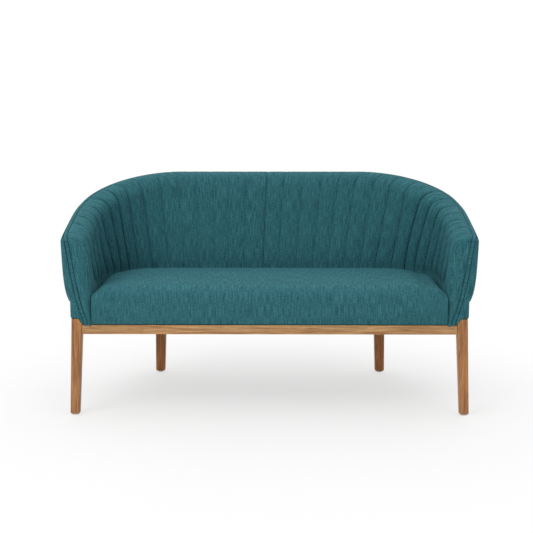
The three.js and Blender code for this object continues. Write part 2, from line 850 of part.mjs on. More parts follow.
function panelLevels(column) {
  const seamZ = seamHeight(column);
  const rollZ = seamZ - panelRollHeight;
  const riseZ = (share) => mix(ledgeHeight, rollZ, share);
  const ledge = outerPlan(0);
  const outside = [
    [coverBottom, ledge, 0],
    [ledgeHeight, ledge, 0],
    ...panelRiseShares.map((share) => [riseZ(share), outerPlan(share), 0]),
    [rollZ, outerPlan(1), 0],
  ];
  const insideShares = [panelRiseShares[3], panelRiseShares[1]];
  const inside = [
    ...insideShares.map((share) => [riseZ(share), outerPlan(share), panelThickness]),
    [ledgeHeight + panelThickness, ledge, panelThickness],
    [ledgeHeight, ledge, skinThickness],
    [coverBottom, ledge, skinThickness],
  ];
  return { seamZ, outside, inside };
}

function panelRing(column) {
  const { seamZ, outside, inside } = panelLevels(column);
  const spot = ([z, plan, by]) => at(place(offset(plan, -by), column), z);
  const edge = seamPlace(column, panelGroove);
  const shoulder = place(outerPlan(1), column);
  const roll = [
    at(shoulder.clone().lerp(edge, panelShoulderShare), seamZ - panelShoulderHeight),
    at(edge, seamZ),
    at(edge, seamZ - panelEdgeHeight),
  ];
  return [...outside.map(spot), ...roll, ...inside.map(spot)];
}

// Shares of the way from the corner to the seam on the arm front. The first clears the leg.
const besideLegShare = (lowerHalf - panelFrontRadius - frontLegInner(railTop) + 2 * gap)
  / (lowerHalf - panelFrontRadius - seamBottomX - panelGroove);
const frontPanelShares = [besideLegShare, mix(besideLegShare, 1, panelMiddleShare), 1];

// The right panel turns round the front of the arm to the seam. Column k counts from the side.
function panelFrontRing(k) {
  const angles = panelFrontAngles.map(degrees);
  const count = angles.length + frontPanelShares.length;
  const away = (count - 1 - k) / (count - 1);
  const column = { side: 1, y: panelFrontRadius * away ** panelTurnPower };
  const { seamZ, outside, inside } = panelLevels(column);
  const liftBottom = k < count - 2;
  const spot = ([z, plan, by]) => {
    const seam = frontSeamX(z) + panelGroove;
    const radius = Math.min(panelFrontRadius, panelFrontShare * (plan.half - seam));
    const start = plan.half - radius;
    const low = z === coverBottom && liftBottom ? frontLegTopZ + gap : z;
    if (k < angles.length) {
      const x = start + (radius - by) * Math.cos(angles[k]);
      return new THREE.Vector3(x, radius - (radius - by) * Math.sin(angles[k]), low);
    }
    return new THREE.Vector3(mix(start, seam, frontPanelShares[k - angles.length]), by, low);
  };
  const edge = seamPlace(column, panelGroove);
  const shoulder = spot([seamZ - panelRollHeight, outerPlan(1), 0]);
  const turn = (1 - away) * Math.PI / 2;
  const within = new THREE.Vector2(edge.x, edge.y + panelEdgeHeight * Math.sin(turn));
  const roll = [
    at(edge.clone().lerp(shoulder, 1 - panelShoulderShare), seamZ - panelShoulderHeight),
    at(edge, seamZ),
    at(within, seamZ - panelEdgeHeight * Math.cos(turn)),
  ];
  return [...outside.map(spot), ...roll, ...inside.map(spot)];
}

function raised(ring) {
  return ring.map((p) => (p.z === coverBottom ? new THREE.Vector3(p.x, p.y, frontLegTopZ + gap) : p));
}

function buildOutsidePanels() {
  const behindLeg = { side: 1, y: frontLegBack + 2 * gap };
  const besideLeg = { side: 1, y: frontLegBack + gap };
  const side = [jointShare, ...cornerShares, ...armShares].map((s) => panelRing({ s }));
  const frontCount = panelFrontAngles.length + frontPanelShares.length;
  const front = Array.from({ length: frontCount }, (_, k) => panelFrontRing(k));
  const right = [...side, panelRing(behindLeg), raised(panelRing(besideLeg)), ...front];
  addPair('outside_arm', loft(right), fabric);
  add('outside_back', loft(bothSides(backShares).map((s) => panelRing({ s }))), fabric);
}

// Seam cord

function tube(points, radius, sides) {
  const tangents = points.map((p, i) => {
    const next = points[Math.min(i + 1, points.length - 1)];
    return next.clone().sub(points[Math.max(i - 1, 0)]).normalize();
  });
  const normal = new THREE.Vector3(0, 1, 0).cross(tangents[0]).normalize();
  return loft(points.map((p, i) => {
    if (i > 0) {
      normal.applyQuaternion(new THREE.Quaternion().setFromUnitVectors(tangents[i - 1], tangents[i]));
    }
    const other = tangents[i].clone().cross(normal);
    return Array.from({ length: sides }, (_, k) => {
      const angle = (k / sides) * Math.PI * 2;
      return p.clone()
        .addScaledVector(normal, radius * Math.cos(angle))
        .addScaledVector(other, radius * Math.sin(angle));
    });
  }));
}

function buildSeamCord() {
  const levels = [...seamLevels.slice(0, -1), seamTopZ - cordBendRadius];
  const frontLine = levels.map((z) => new THREE.Vector3(frontSeamX(z), 0, z));
  const turnYs = [cordBendRadius, ...cordTurnShares.map((share) => share * panelFrontRadius), frontLegBack];
  const shares = [...backShares, jointShare, ...cornerShares, ...armShares].reverse();
  const columns = [...turnYs.map((y) => ({ side: 1, y })), ...shares.map((s) => ({ s }))];
  const right = [...frontLine, ...columns.map((column) => at(seamPlace(column, 0), seamHeight(column)))];
  const left = [...right].reverse().map((p) => new THREE.Vector3(-p.x, p.y, p.z));
  add('seam_cord', tube([...right, ...left], cordRadius, cordSides), fabric);
}

// Seat

// The outline of the seat behind: share 0 is the middle, 1 is where the corner meets the arm
function seatBack(plan, station) {
  const share = Math.abs(station);
  const side = Math.sign(station);
  const straight = plan.half - plan.radius;
  if (share <= seatStraightShare) {
    return new THREE.Vector2(side * straight * share / seatStraightShare, plan.depth);
  }
  const angle = (share - seatStraightShare) / (1 - seatStraightShare) * Math.PI / 2;
  const x = straight + plan.radius * Math.sin(angle);
  return new THREE.Vector2(side * x, plan.depth - plan.radius + plan.radius * Math.cos(angle));
}

function seatSkin(station, inset) {
  const edge = seatEdgeHeight;
  const outline = (z, by) => {
    const spot = seatBack(offset(innerPlan(z), -seatClearance - by), station);
    spot.y -= by * Math.abs(station);
    return spot;
  };
  const half = innerPlan(edge).half - seatClearance;
  const back = outline(edge, inset);
  const fromSide = half - Math.abs(back.x) + coverThickness;
  const crown = seatCrownHeight * (1 - Math.exp(-fromSide / seatSideWidth));
  const middle = (deck + edge) / 2;
  const behind = [
    at(outline(deck, inset + seatTuckDepth), deck),
    at(outline(middle, inset), middle),
    at(back, edge - inset),
  ];
  const top = seatTopShares.map(([share, rise]) => new THREE.Vector3(
    back.x, mix(back.y, seatFrontRadius, share), edge + crown * rise - inset));
  const roll = seatRollShares.map(([out, rise, fall]) => new THREE.Vector3(
    back.x,
    mix(-seatBulgeDepth, seatFrontRadius, out ** 2) + inset,
    edge + crown * rise - fall * (edge - coverBottom) - inset,
  ));
  const face = seatFaceShares.map(([rise, out]) => new THREE.Vector3(
    back.x, -seatBulgeDepth * out + inset, mix(coverBottom + inset, edge, rise)));
  return [...behind, ...top, ...roll, ...face];
}

function buildSeat() {
  const stations = [...seatStationShares, 0, ...seatStationShares.map((s) => -s).reverse()];
  const cover = (station) => {
    const inner = seatSkin(station, coverThickness).reverse();
    inner[0].z = coverBottom;
    return [...seatSkin(station, 0), ...inner];
  };
  const padding = (station) => {
    const skin = seatSkin(station, coverThickness + curveGap);
    const x = skin.at(-1).x;
    const flap = frontPadDepth - gap;
    return [...skin, new THREE.Vector3(x, flap, skin.at(-1).z), new THREE.Vector3(x, flap, deck)];
  };
  add('seat_cover', loft(stations.map(cover)), fabric);
  add('seat_foam', loft(stations.map(padding)), foam);
}

buildLegs();
buildRails();
buildSeatFrame();
buildDustCover();
buildWebbing();
buildTubFrame();
buildInsidePad();
buildOutsidePanels();
buildSeamCord();
buildSeat();

// The origin is on the floor, under the middle of the settee
const bounds = new THREE.Box3().setFromObject(settee);
settee.position.y = -(bounds.min.y + bounds.max.y) / 2;

export default settee;
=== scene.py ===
"""The look of a low tub-backed settee with a channelled inside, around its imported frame.

Lengths are in millimetres in the tub's own frame, where y runs back from the front of the arms.
They become metres in the shared frame when a mesh is made.
"""

import json
import math

import bmesh
import bpy
import numpy as np
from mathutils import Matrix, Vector
from mathutils.kdtree import KDTree

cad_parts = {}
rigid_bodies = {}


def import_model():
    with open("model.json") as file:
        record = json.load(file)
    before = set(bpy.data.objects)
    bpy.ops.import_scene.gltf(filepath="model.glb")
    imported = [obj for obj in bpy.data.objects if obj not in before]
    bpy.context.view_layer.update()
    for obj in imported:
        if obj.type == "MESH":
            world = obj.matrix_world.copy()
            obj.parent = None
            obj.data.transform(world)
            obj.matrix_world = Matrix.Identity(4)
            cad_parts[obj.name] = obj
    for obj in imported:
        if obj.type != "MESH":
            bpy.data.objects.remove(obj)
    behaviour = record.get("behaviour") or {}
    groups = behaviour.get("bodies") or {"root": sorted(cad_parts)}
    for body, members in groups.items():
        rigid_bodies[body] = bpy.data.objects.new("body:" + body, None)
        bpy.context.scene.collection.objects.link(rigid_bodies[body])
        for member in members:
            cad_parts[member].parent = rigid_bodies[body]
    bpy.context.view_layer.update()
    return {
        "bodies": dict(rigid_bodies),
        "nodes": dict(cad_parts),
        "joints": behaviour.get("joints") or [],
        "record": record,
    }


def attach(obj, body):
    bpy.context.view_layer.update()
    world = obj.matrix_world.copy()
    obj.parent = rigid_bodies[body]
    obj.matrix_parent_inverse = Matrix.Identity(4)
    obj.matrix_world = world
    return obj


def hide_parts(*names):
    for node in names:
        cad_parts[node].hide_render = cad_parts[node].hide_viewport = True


MM = 0.001
FRONT_Y = -305.5  # the front of the arms in the shared frame

# Camera
IMAGE = 533  # pixels
SENSOR = 36.0
FOCAL_PX = 1060.4
CAMERA_X = 14.0
CAMERA_BACK = 3349.0
CAMERA_HEIGHT = 1066.7
CAMERA_PITCH = 9.67  # degrees downwards
CAMERA_YAW = 0.4  # degrees to the left

# Outside of the tub
ARM_REACH = 670.0
BACK_REACH = 620.0
BACK_HEIGHT = 753.0
ARM_HEIGHT = 591.0
TOP_RADIUS = 318.0
LOWER_HALF = 648.0
LOWER_DEPTH = 567.0
LOWER_RADIUS = 240.0
LOWER_SWELL = 12.0
LEDGE = 374.6
SWELL_RATE = 5.0
KNEE = 0.398
KNEE_SOFT = 0.1
TOP_DIP = 8.0  # how far the top edge is pulled down round the corner
DIP_SHARE = 0.705
DIP_WIDTH = 0.07
TOP_SWELL = 1.5  # and how far it rises before that
SWELL_SHARE = 0.53
SWELL_WIDTH = 0.05
BASE_Z = 304.9
LEG_TOP_Z = 323.3

# Inside of the tub
CREASE = 413.0
SEAT_HALF = 577.6
SEAT_DEPTH = 458.0
CREASE_RADIUS = 195.0
ARM_LEAN = 12.0
BACK_LEAN = 87.0
CORNER_GROWTH = 107.0

# Channel seams of the inside pad, from the middle outwards. Each has its share of the way to the
# arm front at the crease and at the top, how far it bows forward between the two, and how deep
# it is drawn in.
LEFT_SEAMS = [
    (0.027, 0.005, 0.0, 0.72), (0.098, 0.082, 0.0, 0.3), (0.157, 0.147, 0.0, 0.26),
    (0.209, 0.204, 0.0, 0.3), (0.271, 0.274, 0.0, 0.28), (0.327, 0.338, 0.0, 0.36),
    (0.384, 0.408, 0.0, 0.5), (0.448, 0.487, -0.006, 0.62), (0.502, 0.551, -0.005, 0.5),
    (0.537, 0.597, 0.0, 1.0), (0.574, 0.672, -0.012, 1.15), (0.606, 0.735, 0.0, 1.2),
    (0.645, 0.778, 0.025, 1.3), (0.705, 0.828, 0.045, 1.2), (0.768, 0.888, 0.045, 1.2),
    (0.845, 0.968, 0.03, 0.9),
]
RIGHT_SEAMS = [
    (0.032, 0.059, 0.0, 0.34), (0.099, 0.132, 0.0, 0.26), (0.162, 0.200, 0.0, 0.3),
    (0.221, 0.263, 0.0, 0.26), (0.281, 0.328, 0.0, 0.32), (0.344, 0.395, 0.0, 0.26),
    (0.400, 0.455, 0.0, 0.28), (0.460, 0.518, 0.0, 0.4), (0.511, 0.620, -0.018, 1.0),
    (0.552, 0.680, -0.02, 0.7), (0.597, 0.737, -0.015, 0.95), (0.640, 0.818, -0.018, 0.8),
    (0.684, 0.868, 0.01, 0.9), (0.758, 0.922, 0.03, 0.8), (0.845, 0.972, 0.03, 0.6),
]
CREASE_DEPTH = 5.8
CREASE_WIDTH = 2.4
CREASE_FADE = (0.6, 1.0)
CREASE_HOLD = 1.6  # how firmly a crease is sewn down when the cloth swells
BACK_RELIEF = 2.6
ARM_RELIEF = 6.8
PILLOW_POWERS = (2.4, 0.7)
PUFF_SEED = 7
PUFF_RANGE = (0.85, 1.2)
RELIEF_FADE = (0.12, 0.9)
FOOT_RELIEF = 0.35
FOOT_RELIEF_V = 0.12
FULL_WIDTH = 36.0  # a channel narrower than this is flatter in proportion
WIDE_CHANNEL = 28.0  # one wider than this gets columns for its fold
CORNER_SHARES = (0.36, 0.56)  # the back's relief becomes the arms' between these shares
CHANNEL_LEVEL = 560.0  # the height at which a channel's width is taken
BACK_FOLD = 0.3
ARM_FOLD = 3.2
FOLD_WIDTH = 3.0
FOLD_RISE = (0.3, 0.62)
FOLD_FADE = (0.5, 0.95)
PINCH_SEED = 11
PINCH_RANGE = (0.5, 1.2)
FOOT_TUCK = 10.0
FOOT_TUCK_V = 0.042
SHOULDER_V = 0.68
PAD_FLOOR = 352.0
LOW_ROW = 0.6  # where the pad's second row lies between its foot and the crease of the seat
SEAM_OFFSETS = np.array([0.0, 0.9, 2.2, 4.5, 8.5, 14.0])
FOLD_OFFSETS = np.array([-5.0, -2.5, 0.0, 2.5, 5.0])

# Rolled top edge and arm fronts of the inside pad
ROLL_DEPTH = 42.0
ROLL_SPANS = [0.0, 0.12, 0.3, 0.56, 0.82, 1.0]
ROLL_FALLS = [1.0, 0.52, 0.22, 0.045, 0.0, 0.1]
FRONT_PAD = 26.0
FRONT_ROUND = 20.0
FRONT_ROUND_TOP = 4.0
FRONT_ROUND_FOOT = 5.0
ROUND_FADE = (0.0, 0.85)
BESIDE_SEAT = (372.0, 440.0)  # between these heights the front's inner edge comes free of the seat
FRONT_SHARES = (0.012, 0.03, 0.07, 0.14, 0.25, 0.4, 0.6, 0.8, 1.0)
FRONT_RELIEF_RUN = 2.2
FRONT_CREASE_SHARE = 0.02
FRONT_TURN = 76.0
FRONT_RINGS = 9
FRONT_BULGE = 5.5
BULGE_FOOT = 0.22
BULGE_POWER = 0.75
FRONT_FOOT = 302.5
FRONT_SAG = 2.4
FOOT_FORWARD = 1.2
SAG_POWER = 0.4
FRONT_EDGE_Y = 0.6
HEM = (2.5, 12.0)  # the rows behind an edge, which turn into the groove of the seam

# Seam band, and the edges of the covers beside it
SEAM_HALF = 660.0
SEAM_DEPTH = 613.0
SEAM_RADIUS = 332.0
SEAM_TOP_X = 652.0
SEAM_BOTTOM_X = 593.0
SEAM_TUCK = 22.0
SEAM_OUTS = [0.0, 0.37, 0.59, 0.865, 1.0]
SEAM_RISES = [0.3, 0.8]
SEAM_DROP = 4.2
SEAM_BEND = 6.0
FRONT_STEPS = 46
BEND_ANGLES = (18, 36, 54, 72)
TOP_STEPS = 150
AHEAD = 0.001  # the share by which a path looks ahead for its direction
BAND_HALF = 6.0
BAND_RISE = 1.3
BAND_TILT = 0.16
BAND_SAG = 2.2
EDGE_GAP = 6.7
BAND_SINK = 0.4
BAND_FOOT_SINK = 1.4
BAND_FOOT_SPAN = 12.0
PANEL_ROLL = 8.0
PANEL_DROP = 1.6
PANEL_RADIUS = 22.0
STITCH_PITCH = 6.5
STITCH_LENGTH = 4.4
STITCH_RADIUS = 0.5
STITCH_OFFSET = 4.6
STITCH_RISE = 0.45
STITCH_SIDES = 6
STITCH_RINGS = [(-0.5, 0.35, -0.5), (-0.25, 1, 0), (0.25, 1, 0), (0.5, 0.35, -0.5)]

FLIP = np.array([-1, 1, 1])
WELD = 0.0004  # metres


def lerp(a, b, t):
    return a + (b - a) * t


def smooth_step(low, high, value):
    t = np.clip((value - low) / (high - low), 0, 1)
    return t * t * (3 - 2 * t)


def curve_through(xs, ys, at):
    """A smooth curve through points, with no overshoot at its ends."""
    xs, ys = np.asarray(xs, float), np.asarray(ys, float)
    slopes = np.gradient(ys, xs)
    at = np.clip(at, xs[0], xs[-1])
    i = np.clip(np.searchsorted(xs, at) - 1, 0, len(xs) - 2)
    h = xs[i + 1] - xs[i]
    t = (at - xs[i]) / h
    a, b = slopes[i] * h, slopes[i + 1] * h
    dy = ys[i + 1] - ys[i]
    return ys[i] + t * a + t * t * (3 * dy - 2 * a - b) + t ** 3 * (a + b - 2 * dy)


# Plans: half width, depth and corner radius, each a number or an array


def inner_plan(z):
    rise = (z - CREASE) / (BACK_HEIGHT - CREASE)
    return (
        SEAT_HALF + ARM_LEAN * rise,
        SEAT_DEPTH + BACK_LEAN * rise,
        CREASE_RADIUS + CORNER_GROWTH * rise,
    )


def outer_plan(rise):
    swell = 1 - np.exp(-SWELL_RATE * rise)
    return (
        LOWER_HALF + (ARM_REACH - LOWER_HALF) * swell,
        LOWER_DEPTH + LOWER_SWELL * swell + (BACK_REACH - LOWER_DEPTH - LOWER_SWELL) * rise,
        lerp(LOWER_RADIUS, TOP_RADIUS, rise),
    )


SEAM_PLAN = (SEAM_HALF, SEAM_DEPTH, SEAM_RADIUS)
BASE_PLAN = (LOWER_HALF, LOWER_DEPTH, LOWER_RADIUS)


def offset(plan, by):
    return tuple(value + by for value in plan)


def plan_length(plan):
    half, depth, radius = plan
    return half + depth + radius * (math.pi / 2 - 2)


def on_plan(plan, s):
    """Points on a plan at signed shares of the way from the middle of the back to an arm front."""
    half, depth, radius = plan
    length = plan_length(plan)
    run = np.abs(s) * length
    straight = half - radius
    angle = np.clip((run - straight) / radius, 0, math.pi / 2)
    turned = run > straight
    past = run > straight + radius * math.pi / 2
    x = np.where(past, half, np.where(turned, straight + radius * np.sin(angle), run))
    y = np.where(past, length - run, np.where(turned, depth - radius + radius * np.cos(angle), depth))
    return np.sign(s) * x, y


def knee_fall(share):
    """How far the top edge has fallen, from 0 at the back, over a soft knee, to 1 at an arm front."""
    before, after = KNEE - KNEE_SOFT, KNEE + KNEE_SOFT
    soft = (share - before) ** 2 / (4 * KNEE_SOFT)
    run = np.where(share <= before, 0, np.where(share >= after, share - KNEE, soft))
    return run / (1 - KNEE)


def top_height(share):
    """Height of the top edge, with the small dip where the fabric is pulled round the corner."""
    share = np.abs(share)
    dip = TOP_DIP * np.exp(-((share - DIP_SHARE) / DIP_WIDTH) ** 2)
    swell = TOP_SWELL * np.exp(-((share - SWELL_SHARE) / SWELL_WIDTH) ** 2)
    return lerp(BACK_HEIGHT, ARM_HEIGHT, knee_fall(share)) - dip + swell


SEAM_TOP_Z = ARM_HEIGHT - SEAM_DROP
SEAM_LEVELS = [
    BASE_Z,
    LEDGE,
    *(lerp(LEDGE, SEAM_TOP_Z - PANEL_ROLL, rise) for rise in SEAM_RISES),
    SEAM_TOP_Z,
]


def front_seam_x(z):
    """Where the seam on the right arm front lies at this height."""
    return lerp(SEAM_BOTTOM_X, SEAM_TOP_X, curve_through(SEAM_LEVELS, SEAM_OUTS, z))


def share_of_y(plan, y):
    return 1 - y / plan_length(plan)


def seam_spot(s, by):
    """A point beside the seam of the top edge, by outwards, drawn in towards the arm front."""
    x, y = on_plan(offset(SEAM_PLAN, by), s)
    tuck = (SEAM_HALF - SEAM_TOP_X) * np.exp(-np.maximum(0, y) / SEAM_TUCK)
    return x - np.sign(x) * tuck, y


# Meshes


def placed(points):
    """Points in millimetres, moved to the shared frame in metres."""
    moved = np.array(points, float).reshape(-1, 3)
    moved[:, 1] += FRONT_Y
    return moved * MM


def mesh_object(name, points, faces, uvs=None):
    mesh = bpy.data.meshes.new(name)
    mesh.from_pydata([tuple(p) for p in placed(points)], [], faces)
    if uvs is not None:
        layer = mesh.uv_layers.new(name="cloth")
        loops = np.empty(len(mesh.loops), np.int64)
        mesh.loops.foreach_get("vertex_index", loops)
        layer.data.foreach_set("uv", np.asarray(uvs, np.float32)[loops].ravel())
    for polygon in mesh.polygons:
        polygon.use_smooth = True
    piece = bpy.data.objects.new(name, mesh)
    bpy.context.scene.collection.objects.link(piece)
    return piece


def grid_faces(rows, columns, first=0):
    faces = []
    for c in range(columns - 1):
        for r in range(rows - 1):
            a = first + c * rows + r
            faces.append((a, a + rows, a + rows + 1, a + 1))
    return faces


def grid_uvs(grid):
    """Arc lengths in metres along a grid of shape (columns, rows, 3), for the weave to follow."""
    across = np.linalg.norm(np.diff(grid, axis=0), axis=2).mean(axis=1)
    along = np.linalg.norm(np.diff(grid, axis=1), axis=2)
    u = np.concatenate([[0], np.cumsum(across)]) * MM
    v = np.concatenate([np.zeros((len(grid), 1)), np.cumsum(along, axis=1)], axis=1) * MM
    return np.stack([np.repeat(u[:, None], grid.shape[1], axis=1), v], axis=2).reshape(-1, 2)


def grid_object(name, grid):
    faces = grid_faces(grid.shape[1], grid.shape[0])
    return mesh_object(name, grid.reshape(-1, 3), faces, grid_uvs(grid))


def grid_normals(grid):
    """Unit normals of a grid, on the side that its faces show."""
    across = np.gradient(grid, axis=0)
    along = np.gradient(grid, axis=1)
    normals = np.cross(across, along)
    return normals / np.maximum(np.linalg.norm(normals, axis=2, keepdims=True), 1e-9)


def apply_modifiers(piece):
    """Keeps what the modifiers make of a piece in its mesh."""
    bpy.context.view_layer.update()
    graph = bpy.context.evaluated_depsgraph_get()
    mesh = bpy.data.meshes.new_from_object(piece.evaluated_get(graph), depsgraph=graph)
    piece.modifiers.clear()
    old = piece.data
    piece.data = mesh
    bpy.data.meshes.remove(old)


def weld(piece):
    """Joins the parts of a mesh where their edges meet."""
    work = bmesh.new()
    work.from_mesh(piece.data)
    bmesh.ops.remove_doubles(work, verts=work.verts, dist=WELD)
    bmesh.ops.recalc_face_normals(work, faces=work.faces)
    work.to_mesh(piece.data)
    work.free()


def smoothed(piece):
    """Rounds a piece with one level of subdivision."""
    modifier = piece.modifiers.new("round", "SUBSURF")
    modifier.levels = modifier.render_levels = 1
    apply_modifiers(piece)
    for polygon in piece.data.polygons:
        polygon.use_smooth = True


# Inside pad

FACE_ROWS = 20
ROLL_ROWS = 16
ROLL_CROWDING = 0.9
ROLL_W = np.linspace(0, 1, ROLL_ROWS + 1)[1:] ** ROLL_CROWDING
FACE_V = np.concatenate([[0.0, 0.0], np.linspace(0, SHOULDER_V, FACE_ROWS - 2)])
ROW_V = np.concatenate([FACE_V, SHOULDER_V + (1 - SHOULDER_V) * ROLL_W])
ROLL_SPAN = curve_through(np.linspace(0, 1, len(ROLL_SPANS)), ROLL_SPANS, ROLL_W)
ROLL_FALL = curve_through(np.linspace(0, 1, len(ROLL_FALLS)), ROLL_FALLS, ROLL_W)
WEAVE_SHIFT = 3.0  # metres between the parts of the pad on the cloth, so that its slubs don't repeat


def seam_share(seam, v):
    foot, head, bow, _ = seam
    return foot + (head - foot) * v + bow * 4 * v * (1 - v)


def pad_column(s):
    """A column of the pad from under the seat to the seam. s has the share of each row."""
    top = top_height(s)
    shoulder = top - ROLL_DEPTH
    face = slice(0, FACE_ROWS)
    z = lerp(CREASE, shoulder[face], FACE_V / SHOULDER_V)
    z[:2] = (PAD_FLOOR, lerp(PAD_FLOOR, CREASE, LOW_ROW))
    x, y = on_plan(inner_plan(z), s[face])
    low = np.stack([x, y, z], axis=1)
    roll = slice(FACE_ROWS, None)
    x0, y0 = on_plan(inner_plan(shoulder[roll]), s[roll])
    x1, y1 = seam_spot(s[roll], -EDGE_GAP)
    high = np.stack([
        lerp(x0, x1, ROLL_SPAN), lerp(y0, y1, ROLL_SPAN), top[roll] - ROLL_FALL * ROLL_DEPTH], axis=1)
    return np.concatenate([low, high])


def across_channel(width):
    """Parts of a channel's width for its columns, close together beside the seams."""
    near = SEAM_OFFSETS[SEAM_OFFSETS < max(0.5 * width - 6.0, 2.5)] / width
    middle = FOLD_OFFSETS if width >= WIDE_CHANNEL else np.zeros(1)
    return np.concatenate([near, 0.5 + middle / width, 1 - near[:0:-1]])


def relief_depth(part, width, full):
    """How deep a column lies under its channel's crest, and its parts of the crease and the fold."""
    near = np.minimum(part, 1 - part) * width
    steep, round_top = PILLOW_POWERS
    pillow = full * (1 - (1 - np.abs(2 * part - 1) ** steep) ** round_top)
    fold = np.exp(-((part - 0.5) * width / FOLD_WIDTH) ** 2)
    return pillow * min(1.0, width / FULL_WIDTH), np.exp(-(near / CREASE_WIDTH) ** 2), fold


def pad_slab():
    """Base columns between the outermost seams, with the depths of relief, crease and fold."""
    seams = [(-foot, -head, -bow, depth) for foot, head, bow, depth in reversed(LEFT_SEAMS)]
    seams += RIGHT_SEAMS
    puff = np.random.default_rng(PUFF_SEED).uniform(*PUFF_RANGE, len(seams))
    pinch = np.random.default_rng(PINCH_SEED).uniform(*PINCH_RANGE, len(seams))
    columns, depths = [], []
    for k, (left, right) in enumerate(zip(seams[:-1], seams[1:])):
        a, b = seam_share(left, ROW_V), seam_share(right, ROW_V)
        middle = float(np.abs(a + b).mean() / 2)
        width = float((b - a).mean()) * plan_length(inner_plan(CHANNEL_LEVEL))
        corner = float(smooth_step(*CORNER_SHARES, middle))
        full = lerp(BACK_RELIEF, ARM_RELIEF, corner) * puff[k]
        for part in across_channel(width):
            relief, crease, fold = relief_depth(part, width, full)
            crease *= CREASE_DEPTH * (left[3] if part < 0.5 else right[3])
            columns.append(pad_column(lerp(a, b, part)))
            depths.append((relief, crease, fold * lerp(BACK_FOLD, ARM_FOLD, corner) * pinch[k]))
    columns.append(pad_column(seam_share(seams[-1], ROW_V)))
    depths.append((ARM_RELIEF, CREASE_DEPTH * seams[-1][3], 0.0))
    return np.array(columns), np.array(depths)


def arm_section(y):
    """The inside and top of an arm at this y, from the base to the seam, for the right arm."""
    top = float(top_height(share_of_y(inner_plan(ARM_HEIGHT), y)))
    z = np.linspace(FRONT_FOOT, top - ROLL_DEPTH, FACE_ROWS)
    low = np.stack([inner_plan(z)[0], z], axis=1)
    end = float(seam_spot(share_of_y(SEAM_PLAN, y), -EDGE_GAP)[0])
    high = np.stack([lerp(low[-1, 0], end, ROLL_SPAN), top - ROLL_FALL * ROLL_DEPTH], axis=1)
    return np.concatenate([low, high])


def arm_ring(angle):
    """The arm's section where it turns round its front, at this angle of the turn."""
    section = arm_section(0.0)
    open_side = smooth_step(*BESIDE_SEAT, section[:FACE_ROWS, 1])
    radius = np.concatenate([
        lerp(FRONT_ROUND_FOOT, FRONT_ROUND, open_side),
        lerp(FRONT_ROUND, FRONT_ROUND_TOP, smooth_step(*ROUND_FADE, ROLL_W)),
    ])
    y = radius * (1 - math.sin(angle))
    slope = np.gradient(section, axis=0)
    slope /= np.linalg.norm(slope, axis=1)[:, None]
    inwards = np.stack([slope[:, 1], -slope[:, 0]], axis=1)
    inwards[:FACE_ROWS] = (1.0, 0.0)
    inwards[-1] = (0.0, -1.0)
    ring = section + inwards * (radius * (1 - math.cos(angle)))[:, None]
    return np.stack([ring[:, 0], y, ring[:, 1]], axis=1)


def arm_front_columns(last):
    """Columns from the right arm's last channel seam forward, and round to the arm front."""
    section = arm_section(FRONT_PAD)
    straight = np.stack([section[:, 0], np.full(len(section), FRONT_PAD), section[:, 1]], axis=1)
    columns, depths = [], []
    for t in FRONT_SHARES:
        columns.append(lerp(last, straight, t))
        relief = ARM_RELIEF * max(0.0, 1 - t * FRONT_RELIEF_RUN) ** 2
        depths.append((relief, CREASE_DEPTH * math.exp(-(t / FRONT_CREASE_SHARE) ** 2), 0.0))
    for angle in np.radians(np.linspace(0, FRONT_TURN, FRONT_RINGS)):
        columns.append(arm_ring(angle))
        depths.append((0.0, 0.0, 0.0))
    return np.array(columns), np.array(depths)


def front_face(ring):
    """The padded front of the right arm, between its ring and the seam line."""
    left = ring[:FACE_ROWS]
    top = ring[FACE_ROWS - 1:]
    rise = (left[:, 2] - left[0, 2]) / (left[-1, 2] - left[0, 2])
    z = lerp(left[0, 2], top[-1, 2], rise)
    right = np.stack([front_seam_x(z) - EDGE_GAP, np.full(len(z), FRONT_EDGE_Y), z], axis=1)
    right[-1] = top[-1]
    span = (top[:, 0] - top[0, 0]) / (top[-1, 0] - top[0, 0])
    grid = np.zeros((len(top), len(left), 3))
    for i, u in enumerate(span):
        foot = lerp(left[0], right[0], u)
        for j, v in enumerate(rise):
            corners = lerp(lerp(left[0], right[0], u), lerp(left[-1], right[-1], u), v)
            point = lerp(left[j], right[j], u) + lerp(foot, top[i], v) - corners
            arch = math.sin(math.pi * min(u, 1))
            rise_arch = math.sin(math.pi * lerp(BULGE_FOOT, 1, v))
            foot_arch = arch ** SAG_POWER * (1 - v) ** 6
            point[1] -= FRONT_BULGE * (arch ** BULGE_POWER * rise_arch ** BULGE_POWER)
            point[1] -= FOOT_FORWARD * foot_arch
            point[2] -= FRONT_SAG * foot_arch
            grid[i, j] = point
    return grid


def hem(grid):
    """Two more rows behind an arm front's seam edge, so that it turns into the groove."""
    extra = [grid[-1] + np.array([0.0, depth, 0.0]) for depth in HEM]
    return np.concatenate([grid, np.array(extra)])


def seam_hem(columns):
    """The same along the top edge, where the cover turns down into the groove."""
    edge = columns[:, -1:]
    extra = [edge - np.array([0.0, 0.0, depth]) for depth in HEM]
    return np.concatenate([columns, *extra], axis=1)


def mirror(grid):
    """The same columns on the other side of the settee, in an order that keeps the faces outwards."""
    return grid[::-1] * FLIP


